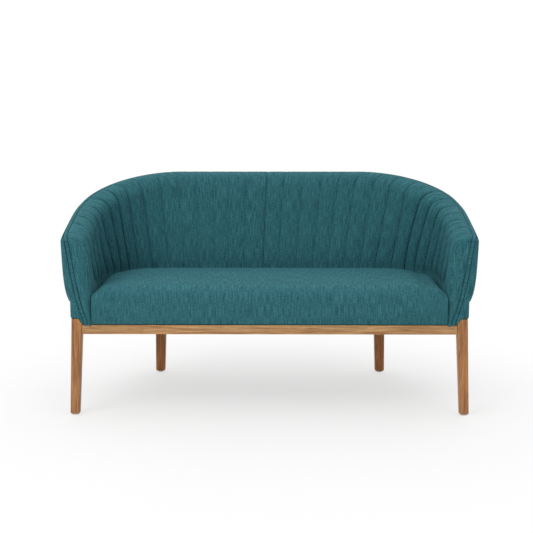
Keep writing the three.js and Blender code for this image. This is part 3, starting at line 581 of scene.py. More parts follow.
def sink_channels(grid, relief, crease, fold, inside):
    """Draws a grid in by its relief, creases and folds, and tucks its foot in behind the seat."""
    w = np.clip((ROW_V - SHOULDER_V) / (1 - SHOULDER_V), 0, 1)
    foot_fade = lerp(FOOT_RELIEF, 1.0, smooth_step(0.0, FOOT_RELIEF_V, ROW_V))
    relief_fade = (1 - smooth_step(*RELIEF_FADE, w)) * foot_fade
    crease_fade = 1 - smooth_step(*CREASE_FADE, w)
    fold_fade = smooth_step(*FOLD_RISE, ROW_V) * (1 - smooth_step(*FOLD_FADE, w))
    depth = relief * relief_fade + crease * crease_fade + fold * fold_fade
    depth += FOOT_TUCK * np.exp(-ROW_V / FOOT_TUCK_V) * inside[:, None]
    depth[:, :2] = depth[:, 2:3] * [[0.0, LOW_ROW]]
    return grid - grid_normals(grid) * depth[:, :, None]


def build_pad():
    """The pad as one mesh, with its points and how firmly each is held when the cloth swells."""
    slab, slab_depths = pad_slab()
    left, left_depths = arm_front_columns(slab[0] * FLIP)
    right, right_depths = arm_front_columns(slab[-1])
    grid = np.concatenate([mirror(left), slab, right])
    depths = np.concatenate([left_depths[::-1], slab_depths, right_depths])
    relief, crease, fold = depths.T[:, :, None]
    inside = np.zeros(len(grid))
    inside[len(left):len(left) + len(slab)] = 1
    grid = sink_channels(grid, relief, crease, fold, inside)
    held = np.clip(crease / CREASE_DEPTH * CREASE_HOLD * np.ones(grid.shape[:2]), 0, 1)
    held[:, :4] = held[:, -4:] = 1
    held = np.concatenate([held, np.ones((len(held), len(HEM)))], axis=1)
    front_held = np.ones((ROLL_ROWS + 1 + len(HEM), FACE_ROWS))
    front_held[2:-4, 2:-2] = 0
    parts = [
        (seam_hem(grid), held),
        (hem(front_face(grid[-1])), front_held),
        (mirror(hem(front_face(grid[0] * FLIP))), front_held[::-1]),
    ]
    points, faces, uvs, weights = [], [], [], []
    for k, (part, part_held) in enumerate(parts):
        first = len(points)
        points.extend(part.reshape(-1, 3).tolist())
        faces.extend(grid_faces(part.shape[1], part.shape[0], first))
        uvs.extend((grid_uvs(part) + np.array([WEAVE_SHIFT * k, 0.0])).tolist())
        weights.extend(part_held.ravel().tolist())
    pad = mesh_object("inside_pad_cover", points, faces, uvs)
    weld(pad)
    return pad, placed(points), np.array(weights)


# Outside panels

PANEL_RISES = [0.0, 0.025, 0.06, 0.12, 0.2, 0.3, 0.42, 0.55, 0.7, 0.85, 0.95, 1.0]
BAND_LEVELS = [BASE_Z, BASE_Z + 6, 328.0, 347.0, LEDGE - 4.0, LEDGE - 0.8]
BAND_SHARES = [(level - BASE_Z) / (LEDGE - BASE_Z) for level in BAND_LEVELS]
SHOULDER_ANGLES = [14, 30, 46, 62, 77, 90]
BAND_INSET = 0.6
LEDGE_INSET = 2.2
PANEL_JOINT = 0.383  # the share at which a side panel meets the back panel
JOINT_DEPTH = 3.0
JOINT_WIDTH = 0.0025
JOINT_CLEAR = 0.008
JOINT_COLUMNS = np.array([-0.005, -0.0025, 0.0, 0.0025, 0.005])


def panel_rows(spot, seam_z, edge, floor, crease):
    """One column of the outside: plain band, ledge, padded side, shoulder and seam edge."""
    edge_z = seam_z - PANEL_DROP
    roll_z = edge_z - PANEL_ROLL
    column = []
    for share in BAND_SHARES:
        column.append(spot(lerp(floor, LEDGE, share), outer_plan(0.0), BAND_INSET))
    column.append(spot(LEDGE + 1.0, outer_plan(0.0), LEDGE_INSET))
    for rise in PANEL_RISES[1:]:
        z = lerp(LEDGE, roll_z, rise)
        column.append(spot(z, outer_plan(rise), crease * (1 if rise < 1 else 0.5)))
    shoulder = column[-1]
    for degrees in SHOULDER_ANGLES:
        turn = math.radians(degrees)
        x = lerp(edge[0], shoulder[0], math.cos(turn))
        y = lerp(edge[1], shoulder[1], math.cos(turn))
        column.append((x, y, roll_z + PANEL_ROLL * math.sin(turn)))
    return column


def panel_side_column(s):
    """A column of the outside at this share of the way from the middle of the back."""
    seam_z = float(top_height(s)) - SEAM_DROP
    edge = [float(v) for v in seam_spot(s, EDGE_GAP)]
    crease = JOINT_DEPTH * math.exp(-((abs(s) - PANEL_JOINT) / JOINT_WIDTH) ** 2)

    def spot(z, plan, by):
        x, y = on_plan(offset(plan, -by), s)
        return (float(x), float(y), float(z))

    column = panel_rows(spot, seam_z, edge, BASE_Z, crease)
    x, y, z = column[-1]
    return column + [(x, y, z - depth) for depth in HEM]


PANEL_TURNS = [0, 12, 25, 38, 52, 65, 78, 90]
FACE_SHARES = [0.12, 0.26, 0.4, 0.55, 0.7, 0.85, 1.0]
CORNER_PART = 0.8  # the round corner takes no more than this of an arm front's outer width
EDGE_POWER = 1.5
LEG_CLEAR_X = 607.0
LEG_CLEAR_WIDTH = 10.0
FACE_BULGE = 2.6
FACE_POWER = 0.8
SIDE_END = 40.0  # where the even columns of a side end, before those that clear the front leg
FRONT_COLUMNS = len(PANEL_TURNS) + len(FACE_SHARES)
LEG_COLUMNS = (36.5, 34.0, 28.0, PANEL_RADIUS + 1.0)
LEG_BACK = 36.0
UNDER_LAP = 14.0
UNDER_AIM = np.array([0.0, 300.0, 0.0])  # the lap under the foot turns towards this point
UNDER_DROP = 0.4


def panel_front_column(k):
    """Column k of the turn round the arm front: first the round corner, then across to the seam."""
    away = (FRONT_COLUMNS - 1 - k) / (FRONT_COLUMNS - 1)
    y0 = PANEL_RADIUS * away ** EDGE_POWER
    edge = [float(v) for v in seam_spot(share_of_y(SEAM_PLAN, y0), EDGE_GAP)]
    across = FACE_SHARES[k - len(PANEL_TURNS)] if k >= len(PANEL_TURNS) else None

    def spot(z, plan, by):
        seam = float(front_seam_x(z)) + EDGE_GAP
        half = float(plan[0])
        radius = min(PANEL_RADIUS, CORNER_PART * (half - seam))
        start = half - radius
        if across is None:
            angle = math.radians(PANEL_TURNS[k])
            x = start + (radius - by) * math.cos(angle)
            return (x, radius - (radius - by) * math.sin(angle), float(z))
        soft = FACE_BULGE * math.sin(math.pi * across) ** FACE_POWER
        return (lerp(start, seam, across), by - soft, float(z))

    foot_x = spot(BASE_Z, outer_plan(0.0), 0.0)[0]
    leg = min(1.0, max(0.0, (foot_x - LEG_CLEAR_X) / LEG_CLEAR_WIDTH))
    rows = panel_rows(spot, SEAM_TOP_Z, edge, lerp(BASE_Z, LEG_TOP_Z, leg), 0.0)
    if across == 1.0:
        rows = [(float(front_seam_x(r[2])) + EDGE_GAP, r[1], r[2]) for r in rows]
    x, y, z = rows[-1]
    back = 1 - away
    return rows + [(x, y + depth * back, z - depth * away) for depth in HEM]


def build_panels():
    """The outside as one mesh, with a lap that turns under its foot."""
    side_shares = np.concatenate([
        np.linspace(0.0, PANEL_JOINT - JOINT_CLEAR, 24)[1:],
        PANEL_JOINT + JOINT_COLUMNS,
        np.linspace(PANEL_JOINT + JOINT_CLEAR, share_of_y(BASE_PLAN, SIDE_END), 46),
    ])
    right = [panel_side_column(s) for s in side_shares]
    for y in LEG_COLUMNS:
        column = panel_side_column(share_of_y(BASE_PLAN, y))
        if y < LEG_BACK:
            for i, share in enumerate(BAND_SHARES):
                column[i] = (*column[i][:2], lerp(LEG_TOP_Z, LEDGE, share))
        right.append(column)
    right += [panel_front_column(k) for k in range(FRONT_COLUMNS)]
    right = hem(np.array(right))
    grid = np.concatenate([mirror(right), right])
    under = grid[:, :1] - np.array([0.0, 0.0, UNDER_DROP])
    flat = (UNDER_AIM - under[:, 0]) * np.array([1, 1, 0])
    under[:, 0] += flat / np.linalg.norm(flat, axis=1)[:, None] * UNDER_LAP
    return grid_object("outside_cover", np.concatenate([under, grid], axis=1)[::-1])


# Seam band and its stitches


def seam_path():
    """Points and outward normals from the foot of the right arm front up and round to the left."""
    points, normals = [], []
    for z in np.linspace(BASE_Z - BAND_SAG, SEAM_TOP_Z - SEAM_BEND, FRONT_STEPS):
        foot = BAND_FOOT_SINK * math.exp(-(z - BASE_Z + BAND_SAG) / BAND_FOOT_SPAN)
        points.append((float(front_seam_x(z)), -BAND_SINK - foot, z))
        normals.append((0.0, -1.0, 0.0))
    for degrees in BEND_ANGLES:
        turn = math.radians(degrees)
        y = SEAM_BEND * (1 - math.cos(turn))
        x = float(seam_spot(share_of_y(SEAM_PLAN, y), 0)[0])
        z = SEAM_TOP_Z - SEAM_BEND * (1 - math.sin(turn))
        points.append((x, y - BAND_SINK * math.cos(turn), z))
        normals.append((BAND_TILT * math.sin(turn), -math.cos(turn), math.sin(turn)))
    first = float(share_of_y(SEAM_PLAN, SEAM_BEND))
    for s in np.linspace(first, 0.0, TOP_STEPS)[:-1]:
        x, y = seam_spot(s, 0)
        ahead = np.array(seam_spot(s - AHEAD, 0)) - np.array([x, y])
        ahead /= np.linalg.norm(ahead)
        points.append((float(x), float(y), float(top_height(s)) - SEAM_DROP))
        normals.append((ahead[1] * BAND_TILT, -ahead[0] * BAND_TILT, 1.0))
    points, normals = np.array(points), np.array(normals)
    normals /= np.linalg.norm(normals, axis=1)[:, None]
    return np.concatenate([points, mirror(points)]), np.concatenate([normals, mirror(normals)])


def path_frames(points, normals):
    """Unit vectors along a path, across it and out of it."""
    tangents = np.gradient(points, axis=0)
    tangents /= np.linalg.norm(tangents, axis=1)[:, None]
    across = np.cross(tangents, normals)
    across /= np.linalg.norm(across, axis=1)[:, None]
    return tangents, across, np.cross(across, tangents)


BAND_SECTION = [(-1.0, -5.0), (-1.0, -1.2), (-0.9, -0.1), (-0.6, 0.6), (0.0, 1.0),
                (0.6, 0.6), (0.9, -0.1), (1.0, -1.2), (1.0, -5.0)]


def build_seam():
    points, normals = seam_path()
    _, across, up = path_frames(points, normals)
    return grid_object("seam_band", np.array([
        [p + a * side * BAND_HALF + u * rise * BAND_RISE for side, rise in BAND_SECTION]
        for p, a, u in zip(points, across, up)
    ])[::-1])


def build_stitches():
    """Two rows of short raised stitches along the seam band."""
    points, normals = seam_path()
    frames = (points, *path_frames(points, normals))
    run = np.concatenate([[0], np.cumsum(np.linalg.norm(np.diff(points, axis=0), axis=1))])
    n = STITCH_SIDES
    ring = [(math.cos(a), math.sin(a)) for a in np.linspace(0, -2 * math.pi, n + 1)[:-1]]
    out_points, out_faces = [], []
    for spot in np.arange(STITCH_PITCH, run[-1] - STITCH_PITCH, STITCH_PITCH):
        here, along, side, out = (
            np.array([np.interp(spot, run, values[:, i]) for i in range(3)]) for values in frames)
        for way in (-1, 1):
            centre = here + side * way * STITCH_OFFSET + out * BAND_RISE * STITCH_RISE
            first = len(out_points)
            for share, size, sink in STITCH_RINGS:
                for a, b in ring:
                    out_points.append(
                        centre + along * share * STITCH_LENGTH
                        + side * a * STITCH_RADIUS * size + out * (b * STITCH_RADIUS * size + sink))
            last = first + n * (len(STITCH_RINGS) - 1)
            for a in range(first, last, n):
                for i in range(n):
                    j = (i + 1) % n
                    out_faces.append((a + i, a + j, a + n + j, a + n + i))
            out_faces.append(tuple(range(first + n - 1, first - 1, -1)))
            out_faces.append(tuple(range(last, last + n)))
    return mesh_object("seam_stitches", out_points, out_faces)


# Seat

SEAT_EDGE = 406.0
SEAT_CROWN = 22.8
SEAT_SIDE = 21.0
SEAT_SIDE_DROP = 8.0
SEAT_SIDE_WIDTH = 14.0
SEAT_CORNER_DROPS = (5.0, 11.0)  # left and right
SEAT_CORNER_SHARE = 0.755
SEAT_CORNER_WIDTH = 0.065
SEAT_FOLD = 1.0
SEAT_FOLD_WIDTH = 9.0
SEAT_GROOVE = 24.0
SEAT_GROOVE_WIDTH = 4.5
SEAT_CLEAR = 3.0
SEAT_BULGE = 8.0
SEAT_FRONT = 38.0
SEAT_FLOOR = 305.2
SEAT_FOOT = (8.0, 305.4)  # y and z of the last row, which turns in over the rail
# The seat's rows: heights behind it, then shares of the way forward with shares of the crown,
# then the rounded front edge, and last the front, as shares of its height and of its bulge.
SEAT_BACK = (352.0, 362.0, 372.0)
SEAT_HELD_ROWS = 7
SEAT_TOPS = [(0.0, 0.0), (0.006, 0.05), (0.013, 0.11), (0.024, 0.19), (0.045, 0.3),
             (0.08, 0.46), (0.14, 0.67), (0.22, 0.83), (0.32, 0.93), (0.45, 0.99),
             (0.6, 1.0), (0.74, 0.985), (0.86, 0.96), (0.95, 0.93)]
SEAT_NOSE = [(1.0, 0.89, 0.0), (0.86, 0.82, 0.0), (0.72, 0.7, 0.01), (0.58, 0.56, 0.03),
             (0.44, 0.4, 0.05), (0.3, 0.22, 0.09), (0.18, 0.09, 0.13), (0.08, 0.02, 0.2)]
SEAT_FACE = [(0.72, 1.0), (0.6, 1.0), (0.48, 0.97), (0.36, 0.9), (0.25, 0.8), (0.15, 0.66),
             (0.07, 0.5), (0.02, 0.36), (0.0, 0.2)]


def seat_outline(plan, share):
    """The outline behind the seat: share 0 is the middle and 1 is where a corner meets an arm."""
    half, depth, radius = plan
    side, share = np.sign(share), abs(share)
    straight = half - radius
    if share <= 0.5:
        return side * straight * share * 2, depth
    angle = (share - 0.5) * math.pi
    return side * (straight + radius * math.sin(angle)), depth - radius + radius * math.cos(angle)


def seat_column(share):
    """A column of the seat from behind it, over its crown and front edge, to the rail."""
    plan = offset(inner_plan(SEAT_EDGE), -SEAT_CLEAR)
    x, back_y = seat_outline(plan, share)
    inside = plan[0] - abs(x)
    crown = SEAT_CROWN * (1 - math.exp(-(inside + SEAT_CLEAR) / SEAT_SIDE))
    corner = math.exp(-((abs(share) - SEAT_CORNER_SHARE) / SEAT_CORNER_WIDTH) ** 2)
    crown -= SEAT_CORNER_DROPS[int(share > 0)] * corner
    edge = SEAT_EDGE - SEAT_SIDE_DROP * math.exp(-inside / SEAT_SIDE_WIDTH)
    fold = SEAT_FOLD * math.exp(-inside / SEAT_FOLD_WIDTH)
    column = [(x, back_y, z) for z in SEAT_BACK]
    for t, rise in SEAT_TOPS:
        y = lerp(back_y, SEAT_FRONT, t)
        groove = SEAT_GROOVE * math.exp(-min(inside, back_y - y) / SEAT_GROOVE_WIDTH)
        column.append((x, y, edge + crown * rise - groove))
    for out, rise, fall in SEAT_NOSE:
        y = lerp(-SEAT_BULGE, SEAT_FRONT, out ** 2) + fold * (1 - out)
        column.append((x, y, edge + crown * rise - fall * (edge - SEAT_FLOOR)))
    for rise, out in SEAT_FACE:
        column.append((x, -SEAT_BULGE * out + fold, lerp(SEAT_FLOOR, edge, rise)))
    column.append((x, SEAT_FOOT[0] + fold, SEAT_FOOT[1]))
    return column


def build_seat():
    """The seat's cover, with its points and which of them are held when the cloth swells."""
    shares = np.concatenate([
        np.linspace(0, 0.5, 34)[1:], np.linspace(0.5, 0.9, 20)[1:], np.linspace(0.9, 1.0, 9)[1:]])
    shares = np.concatenate([shares[::-1], [0.0], -shares])
    grid = np.array([seat_column(s) for s in shares])
    held = np.zeros(grid.shape[:2])
    held[:2] = held[-2:] = 1
    held[:, :SEAT_HELD_ROWS] = held[:, -2:] = 1
    seat = grid_object("seat_top_cover", grid)
    return seat, placed(grid), held.ravel()


# Cloth: padded covers swell between the lines that hold them

PAD_PRESSURE = 3.0
PAD_SWELL = 3.0  # a point moves no further than this
SEAT_PRESSURE = 2.5
SEAT_SWELL = 3.0
CLOTH_FRAMES = 20
HELD_FULL = 0.7  # a point held more than this is sewn down
HELD_HALF = 0.25  # and one held more than this only half
CLOTH_SETTINGS = {
    "quality": 4,
    "mass": 0.3,
    "tension_stiffness": 15.0,
    "compression_stiffness": 15.0,
    "shear_stiffness": 5.0,
    "bending_stiffness": 0.5,
    "air_damping": 2.0,
    "use_pressure": True,
    "vertex_group_mass": "held",
}


def swell_cloth(piece, spots, weights, pressure, cap):
    """Blows a cover up between the spots that are sewn down, and keeps the result in its mesh."""
    mesh = piece.data
    rest = np.empty(len(mesh.vertices) * 3)
    mesh.vertices.foreach_get("co", rest)
    rest = rest.reshape(-1, 3)
    tree = KDTree(len(spots))
    for i, spot in enumerate(spots):
        tree.insert(spot, i)
    tree.balance()
    held = np.array([weights[tree.find(spot)[1]] for spot in rest])
    group = piece.vertex_groups.new(name="held")
    for level, low, high in ((0.5, HELD_HALF, HELD_FULL), (1.0, HELD_FULL, math.inf)):
        chosen = np.nonzero((held > low) & (held <= high))[0]
        group.add([int(i) for i in chosen], level, "REPLACE")
    cloth = piece.modifiers.new("cloth", "CLOTH")
    for setting, value in CLOTH_SETTINGS.items():
        setattr(cloth.settings, setting, value)
    cloth.settings.uniform_pressure_force = pressure
    cloth.settings.effector_weights.gravity = 0.0
    cloth.collision_settings.use_collision = False
    cloth.collision_settings.use_self_collision = False
    cloth.point_cache.frame_start = 1
    cloth.point_cache.frame_end = CLOTH_FRAMES
    scene = bpy.context.scene
    for frame in range(1, CLOTH_FRAMES + 1):
        scene.frame_set(frame)
    solved = piece.evaluated_get(bpy.context.evaluated_depsgraph_get()).data
    moved = np.empty(len(solved.vertices) * 3)
    solved.vertices.foreach_get("co", moved)
    move = moved.reshape(-1, 3) - rest
    length = np.linalg.norm(move, axis=1)
    limit = cap * MM * np.tanh(length / (cap * MM)) / np.maximum(length, 1e-9)
    piece.modifiers.clear()
    piece.vertex_groups.clear()
    mesh.vertices.foreach_set("co", (rest + move * limit[:, None]).ravel())
    mesh.update()
    scene.frame_set(1)


# Materials


class Nodes:
    """A node tree of a material or the world, with short ways to add and join its nodes."""

    def __init__(self, owner):
        owner.use_nodes = True
        self.owner = owner
        self.tree = owner.node_tree
        self.shader = self.tree.nodes.get("Principled BSDF")

    def fill(self, node, inputs):
        """Sets a node's inputs, each to a value or from another node's output."""
        for key, value in inputs.items():
            if isinstance(value, bpy.types.NodeSocket):
                self.tree.links.new(value, node.inputs[key])
            else:
                node.inputs[key].default_value = value

    def add(self, kind, inputs=None, **settings):
        node = self.tree.nodes.new("ShaderNode" + kind)
        for key, value in settings.items():
            setattr(node, key, value)
        self.fill(node, inputs or {})
        return node

    def surface(self, **inputs):
        self.fill(self.shader, {key.replace("_", " "): value for key, value in inputs.items()})

    def place(self, coordinates="Object"):
        return self.add("TexCoord").outputs[coordinates]

    def mapping(self, source, scale, rotation=(0, 0, 0), location=(0, 0, 0)):
        return self.add("Mapping", {
            "Vector": source, "Scale": scale, "Rotation": rotation, "Location": location,
        }).outputs["Vector"]

    def noise(self, vector, scale, detail=3.0, roughness=0.55, distortion=0.0):
        return self.add("TexNoise", {
            "Vector": vector, "Scale": scale, "Detail": detail,
            "Roughness": roughness, "Distortion": distortion,
        }).outputs["Fac"]

    def wave(self, vector, scale, direction, distortion):
        return self.add("TexWave", {
            "Vector": vector, "Scale": scale, "Distortion": distortion, "Detail": 1.0,
        }, wave_type="BANDS", bands_direction=direction).outputs["Fac"]

    def math(self, operation, a, b):
        return self.add("Math", {0: a, 1: b}, operation=operation).outputs["Value"]

    def weighted(self, a, a_share, b, b_share):
        """The sum of two values, each times its share."""
        parts = self.math("MULTIPLY", a, a_share), self.math("MULTIPLY", b, b_share)
        return self.math("ADD", *parts)

    def ramp(self, source, stops):
        node = self.add("ValToRGB", {"Fac": source})
        elements = node.color_ramp.elements
        while len(elements) < len(stops):
            elements.new(0.5)
        for element, (position, color) in zip(elements, stops):
            element.position = position
            element.color = (*color, 1.0)
        return node.outputs["Color"]

    def mixed(self, factor, a, b, blend="MIX"):
        return self.add(
            "Mix", {0: factor, 6: a, 7: b}, data_type="RGBA", blend_type=blend).outputs[2]

    def ranged(self, source, low, high, start=0.0, end=1.0, kind="LINEAR"):
        return self.add("MapRange", {
            "Value": source, "From Min": start, "From Max": end, "To Min": low, "To Max": high,
        }, interpolation_type=kind).outputs["Result"]

    def bump(self, height, strength, distance):
        node = self.add("Bump", {"Height": height, "Strength": strength, "Distance": distance})
        self.surface(Normal=node.outputs["Normal"])

    def seen(self):
        """1 for what the camera sees itself, in a gloss or through glass, and 0 for all other light."""
        path = self.add("LightPath").outputs
        seen = self.math("MAXIMUM", path["Is Camera Ray"], path["Is Glossy Ray"])
        return self.math("MAXIMUM", seen, path["Is Transmission Ray"])


def new_material(name):
    return Nodes(bpy.data.materials.new(name))


def linear(r, g, b):
    """An sRGB colour, 0 to 255, as linear values."""
    out = []
    for value in (r, g, b):
        value /= 255
        out.append(value / 12.92 if value <= 0.04045 else ((value + 0.055) / 1.055) ** 2.4)
    return tuple(out)


WHITE = (1.0, 1.0, 1.0, 1.0)
TEAL = [(0.39, linear(34, 80, 88)), (0.5, linear(48, 103, 112)), (0.61, linear(66, 126, 134))]
TEAL_WEAR = [(0.3, (0.94, 0.96, 0.97)), (0.7, (1.05, 1.04, 1.03))]
TEAL_SHEEN = (*linear(115, 188, 196), 1.0)
SLUBS = (360, 22)  # noise cells to a metre, across and along the warp
YARNS = (800, 180)
WEFT = (60, 420)
WEAVE = 260.0
GRAIN_STOPS = (0.34, 0.5, 0.66)
GRAIN = (150.0, 8.0)  # noise cells to a metre, across and along the grain
PORES = (380.0, 28.0)
PORE_STOPS = [(0.34, (0.55, 0.55, 0.55)), (0.47, (0, 0, 0))]
TIMBER_TINT = [(0.3, (0.9, 0.9, 0.9)), (0.7, (1.08, 1.06, 1.04))]


def fabric(name, coordinates="UV"):
    """Slubby woven linen: fine warp and weft, with long uneven slubs along the warp."""
    n = new_material(name)
    place = n.place(coordinates)
    flat = coordinates == "UV"
    across, along = ((1, 0, 1), (0, 1, 0)) if flat else ((1, 1, 0), (0, 0, 1))

    def yarns(cells, detail, roughness=0.55):
        scale = tuple(a * cells[0] + b * cells[1] for a, b in zip(across, along))
        return n.noise(n.mapping(place, scale), 1.0, detail, roughness)

    slub = yarns(SLUBS, 3.0, 0.6)
    fine = yarns(YARNS, 2.0)
    weft = n.math("SUBTRACT", yarns(WEFT, 2.0), 0.5)
    tone = n.math("ADD", n.weighted(slub, 0.58, fine, 0.42), n.math("MULTIPLY", weft, 0.26))
    worn = n.ramp(n.noise(place, 9.0, 3.0), TEAL_WEAR)
    n.surface(
        Base_Color=n.mixed(1.0, n.ramp(tone, TEAL), worn, "MULTIPLY"),
        Roughness=n.ranged(fine, 0.82, 0.96),
        Specular_IOR_Level=0.18,
        Sheen_Weight=0.12,
        Sheen_Roughness=0.45,
        Sheen_Tint=TEAL_SHEEN,
    )
    warp = n.wave(place, WEAVE, "X", 1.2)
    woof = n.wave(place, WEAVE, "Y" if flat else "Z", 1.2)
    n.bump(n.weighted(n.weighted(warp, 0.5, woof, 0.5), 0.35, slub, 0.65), 0.35, 0.0012)
    return n.owner


def timber(name, tones, along, roughness=0.42):
    """Straight-grained wood, dark to light. along is the axis, 0 to 2, that the grain follows."""
    n = new_material(name)
    place = n.place()

    def grain(cells, *look):
        stretch = [cells[0]] * 3
        stretch[along] = cells[1]
        return n.noise(n.mapping(place, stretch), 1.0, *look)

    tones = [linear(*tone) for tone in tones]
    rings = grain(GRAIN, 4.0, 0.6, 0.6)
    pores = grain(PORES, 3.0, 0.6)
    base = n.ramp(rings, list(zip(GRAIN_STOPS, tones)))
    base = n.mixed(n.ramp(pores, PORE_STOPS), base, (*tones[0], 1.0))
    n.surface(
        Base_Color=n.mixed(1.0, base, n.ramp(n.noise(place, 5.0, 2.0), TIMBER_TINT), "MULTIPLY"),
        Roughness=n.ranged(rings, roughness - 0.06, roughness + 0.12),
        Coat_Weight=0.12,
        Coat_Roughness=0.35,
    )
    n.bump(n.weighted(pores, 0.7, rings, 0.3), 0.25, 0.0004)
    return n.owner


def plain(name, low, high, scale, roughness, bump, metallic=0.0):
    """A moulded, foamed or drawn surface with a fine mottle."""
    n = new_material(name)
    mottle = n.noise(n.place(), scale, 4.0)
    n.surface(
        Base_Color=n.ramp(mottle, [(0.35, linear(*low)), (0.65, linear(*high))]),
        Roughness=n.ranged(mottle, roughness - 0.08, roughness + 0.08),
        Metallic=metallic,
    )
    n.bump(mottle, bump, 0.0006)
    return n.owner


def strap_web(name):
    """Woven webbing with a herringbone of coarse yarns."""
    n = new_material(name)
    place = n.place()
    yarn, other = (
        n.wave(n.mapping(place, (1, 1, 1), (0, 0, math.radians(lean))), 120.0, "X", 0.6)
        for lean in (45, -45))
    tone = n.math("MULTIPLY", n.math("ADD", yarn, other), 0.5)
    n.surface(
        Base_Color=n.ramp(tone, [(0.2, linear(102, 78, 48)), (0.8, linear(160, 130, 88))]),
        Roughness=n.ranged(tone, 0.8, 0.95),
    )
    n.bump(tone, 0.5, 0.0008)
    return n.owner


def floor_material():
    """A pale matt floor that keeps the settee's shadow and turns white further away."""
    n = new_material("studio_floor")
    place = n.place()
    n.surface(
        Base_Color=n.ramp(n.noise(place, 1.2, 2.0), FLOOR_TONES),
        Roughness=0.9,
        Specular_IOR_Level=0.1,
    )
    around = n.mapping(place, FLOOR_SCALE, location=FLOOR_SHIFT)
    reach = n.add("VectorMath", {0: around}, operation="LENGTH").outputs["Value"]
    away = n.ranged(reach, FLOOR_GLOW, 1.0, FLOOR_NEAR, FLOOR_FAR, "SMOOTHSTEP")
    glow = n.add("Emission", {"Color": WHITE, "Strength": 1.0})
    blend = n.add("MixShader", {
        0: n.math("MULTIPLY", n.seen(), away), 1: n.shader.outputs[0], 2: glow.outputs[0]})
    n.fill(n.tree.nodes["Material Output"], {"Surface": blend.outputs[0]})
    return n.owner


def paint(piece, material):
    piece.data.materials.clear()
    piece.data.materials.append(material)


# Studio

FLOOR_SIZE = 9000.0
FLOOR_TONES = [(0.3, (0.86, 0.86, 0.86)), (0.7, (0.9, 0.9, 0.9))]
FLOOR_SCALE = (0.9, 1.0, 1.0)
FLOOR_SHIFT = (0.0, 0.15, 0.0)
FLOOR_GLOW = 0.62
FLOOR_NEAR = 0.4
FLOOR_FAR = 1.25
WORLD_LOW = 0.03
WORLD_HIGH = 1.2
# Each lamp's place, the spot it points at, its size and its power, in metres and watts
LAMPS = {
    "key": ((-2.2, -2.4, 2.8), (0, 0, 0.35), (2.2, 1.6), 46),
    "fill": ((2.2, -2.4, 2.8), (0, 0, 0.35), (2.2, 1.6), 10),
    "back": ((0, 2.6, 2.6), (0, 0, 0.6), (3.0, 1.2), 12),
}


def area_light(name, place, aim, size, power):
    data = bpy.data.lights.new(name, "AREA")
    data.shape = "RECTANGLE"
    data.size, data.size_y = size
    data.energy = power
    lamp = bpy.data.objects.new(name, data)
    lamp.location = place
    direction = Vector(aim) - Vector(place)
    lamp.rotation_euler = direction.to_track_quat("-Z", "Y").to_euler()
    bpy.context.scene.collection.objects.link(lamp)


def build_world():
    """A soft dome, brighter above, behind a background that is seen as white."""
    world = bpy.data.worlds.new("studio")
    bpy.context.scene.world = world
    n = Nodes(world)
    n.tree.nodes.clear()
    up = n.add("SeparateXYZ", {0: n.place("Generated")}).outputs["Z"]
    dome = n.ranged(up, WORLD_LOW, WORLD_HIGH)
    light = n.add("Background", {"Color": WHITE, "Strength": dome})
    white = n.add("Background", {"Color": WHITE, "Strength": 1.0})
    blend = n.add("MixShader", {0: n.seen(), 1: light.outputs[0], 2: white.outputs[0]})
    n.add("OutputWorld", {"Surface": blend.outputs[0]})


def build_studio():
    a = FLOOR_SIZE
    corners = [(-a, -a, 0), (a, -a, 0), (a, a, 0), (-a, a, 0)]
    floor = mesh_object("floor", corners, [(0, 1, 2, 3)])
    paint(floor, floor_material())
    build_world()
    for name, lamp in LAMPS.items():
        area_light(name, *lamp)


def build_camera():
    data = bpy.data.cameras.new("photo")
    data.sensor_width = SENSOR
    data.lens = FOCAL_PX / IMAGE * SENSOR
    camera = bpy.data.objects.new("photo", data)
    camera.location = (CAMERA_X * MM, (FRONT_Y - CAMERA_BACK) * MM, CAMERA_HEIGHT * MM)
    camera.rotation_euler = (math.radians(90 - CAMERA_PITCH), 0, math.radians(CAMERA_YAW))
    bpy.context.scene.collection.objects.link(camera)
    bpy.context.scene.camera = camera


# Assembly


def dress(piece, material, nodes):
    paint(piece, material)
    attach(piece, "root")
    if nodes:
        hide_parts(*nodes)


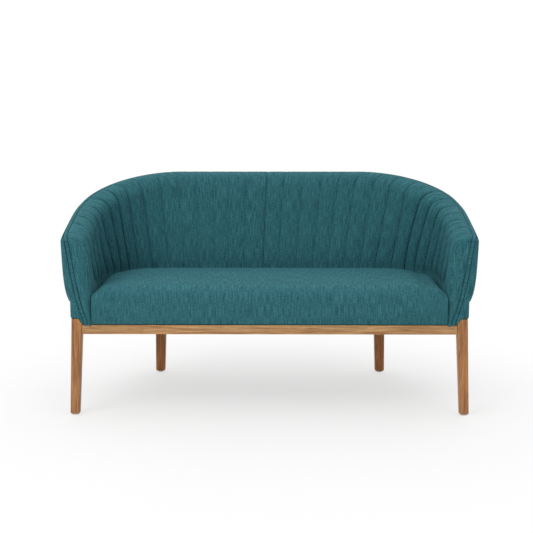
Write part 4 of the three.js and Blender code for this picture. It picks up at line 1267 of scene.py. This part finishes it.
def dress_frame(nodes):
    """Materials for the CAD nodes that stay in view or inside."""
    leg = timber("leg_timber", [(134, 84, 41), (174, 117, 65), (196, 142, 84)], 2)
    # The back legs' timber is lighter than the front legs': painted light that lifts them out of the
    # shade under the seat
    back_leg = timber("back_leg_timber_painted_light", [(142, 82, 34), (184, 116, 52), (202, 138, 70)], 2)
    rail = timber("rail_timber", [(150, 103, 57), (183, 138, 87), (205, 164, 111)], 0)
    side_rail = timber("side_rail_timber", [(120, 80, 48), (150, 108, 70), (172, 130, 90)], 1)
    inner = timber("frame_timber", [(176, 146, 104), (203, 176, 131), (220, 196, 152)], 0, 0.7)
    foam = plain("foam", (214, 202, 166), (238, 228, 196), 260.0, 0.9, 0.6)
    liner = plain("liner", (28, 30, 32), (46, 48, 50), 420.0, 0.9, 0.5)
    nylon = plain("nylon", (214, 212, 204), (232, 230, 224), 300.0, 0.45, 0.15)
    steel = plain("steel", (140, 143, 148), (172, 175, 180), 500.0, 0.35, 0.2, 1.0)
    web = strap_web("webbing")
    cloth = fabric("cloth_on_solids", "Object")
    looks = {
        "front_leg": leg, "back_leg": back_leg, "front_rail": rail, "side_rail": side_rail,
        "back_rail": rail, "long_strap": web, "cross_strap": web, "dust_cover": liner,
        "seat_foam": foam, "inside_pad": cloth, "outside": cloth, "seam_cord": cloth,
        "seat_cover": cloth, "glide": nylon, "bolt": steel,
    }
    for name, node in nodes.items():
        fitting = [look for part, look in looks.items() if part in name]
        paint(node, fitting[-1] if fitting else inner)


def main():
    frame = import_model()
    dress_frame(frame["nodes"])
    cloth = fabric("upholstery")
    pad, pad_spots, pad_weights = build_pad()
    seat, seat_spots, seat_weights = build_seat()
    swell_cloth(pad, pad_spots, pad_weights, PAD_PRESSURE, PAD_SWELL)
    swell_cloth(seat, seat_spots, seat_weights, SEAT_PRESSURE, SEAT_SWELL)
    smoothed(pad)
    dress(pad, cloth, ["inside_pad"])
    panel = build_panels()
    smoothed(panel)
    dress(panel, cloth, ["outside_arm_left", "outside_arm_right", "outside_back"])
    band = build_seam()
    smoothed(band)
    dress(band, cloth, ["seam_cord"])
    dress(build_stitches(), cloth, [])
    smoothed(seat)
    dress(seat, cloth, ["seat_cover", "seat_foam"])
    build_studio()
    build_camera()
    bpy.context.scene.view_settings.view_transform = "Standard"


main()
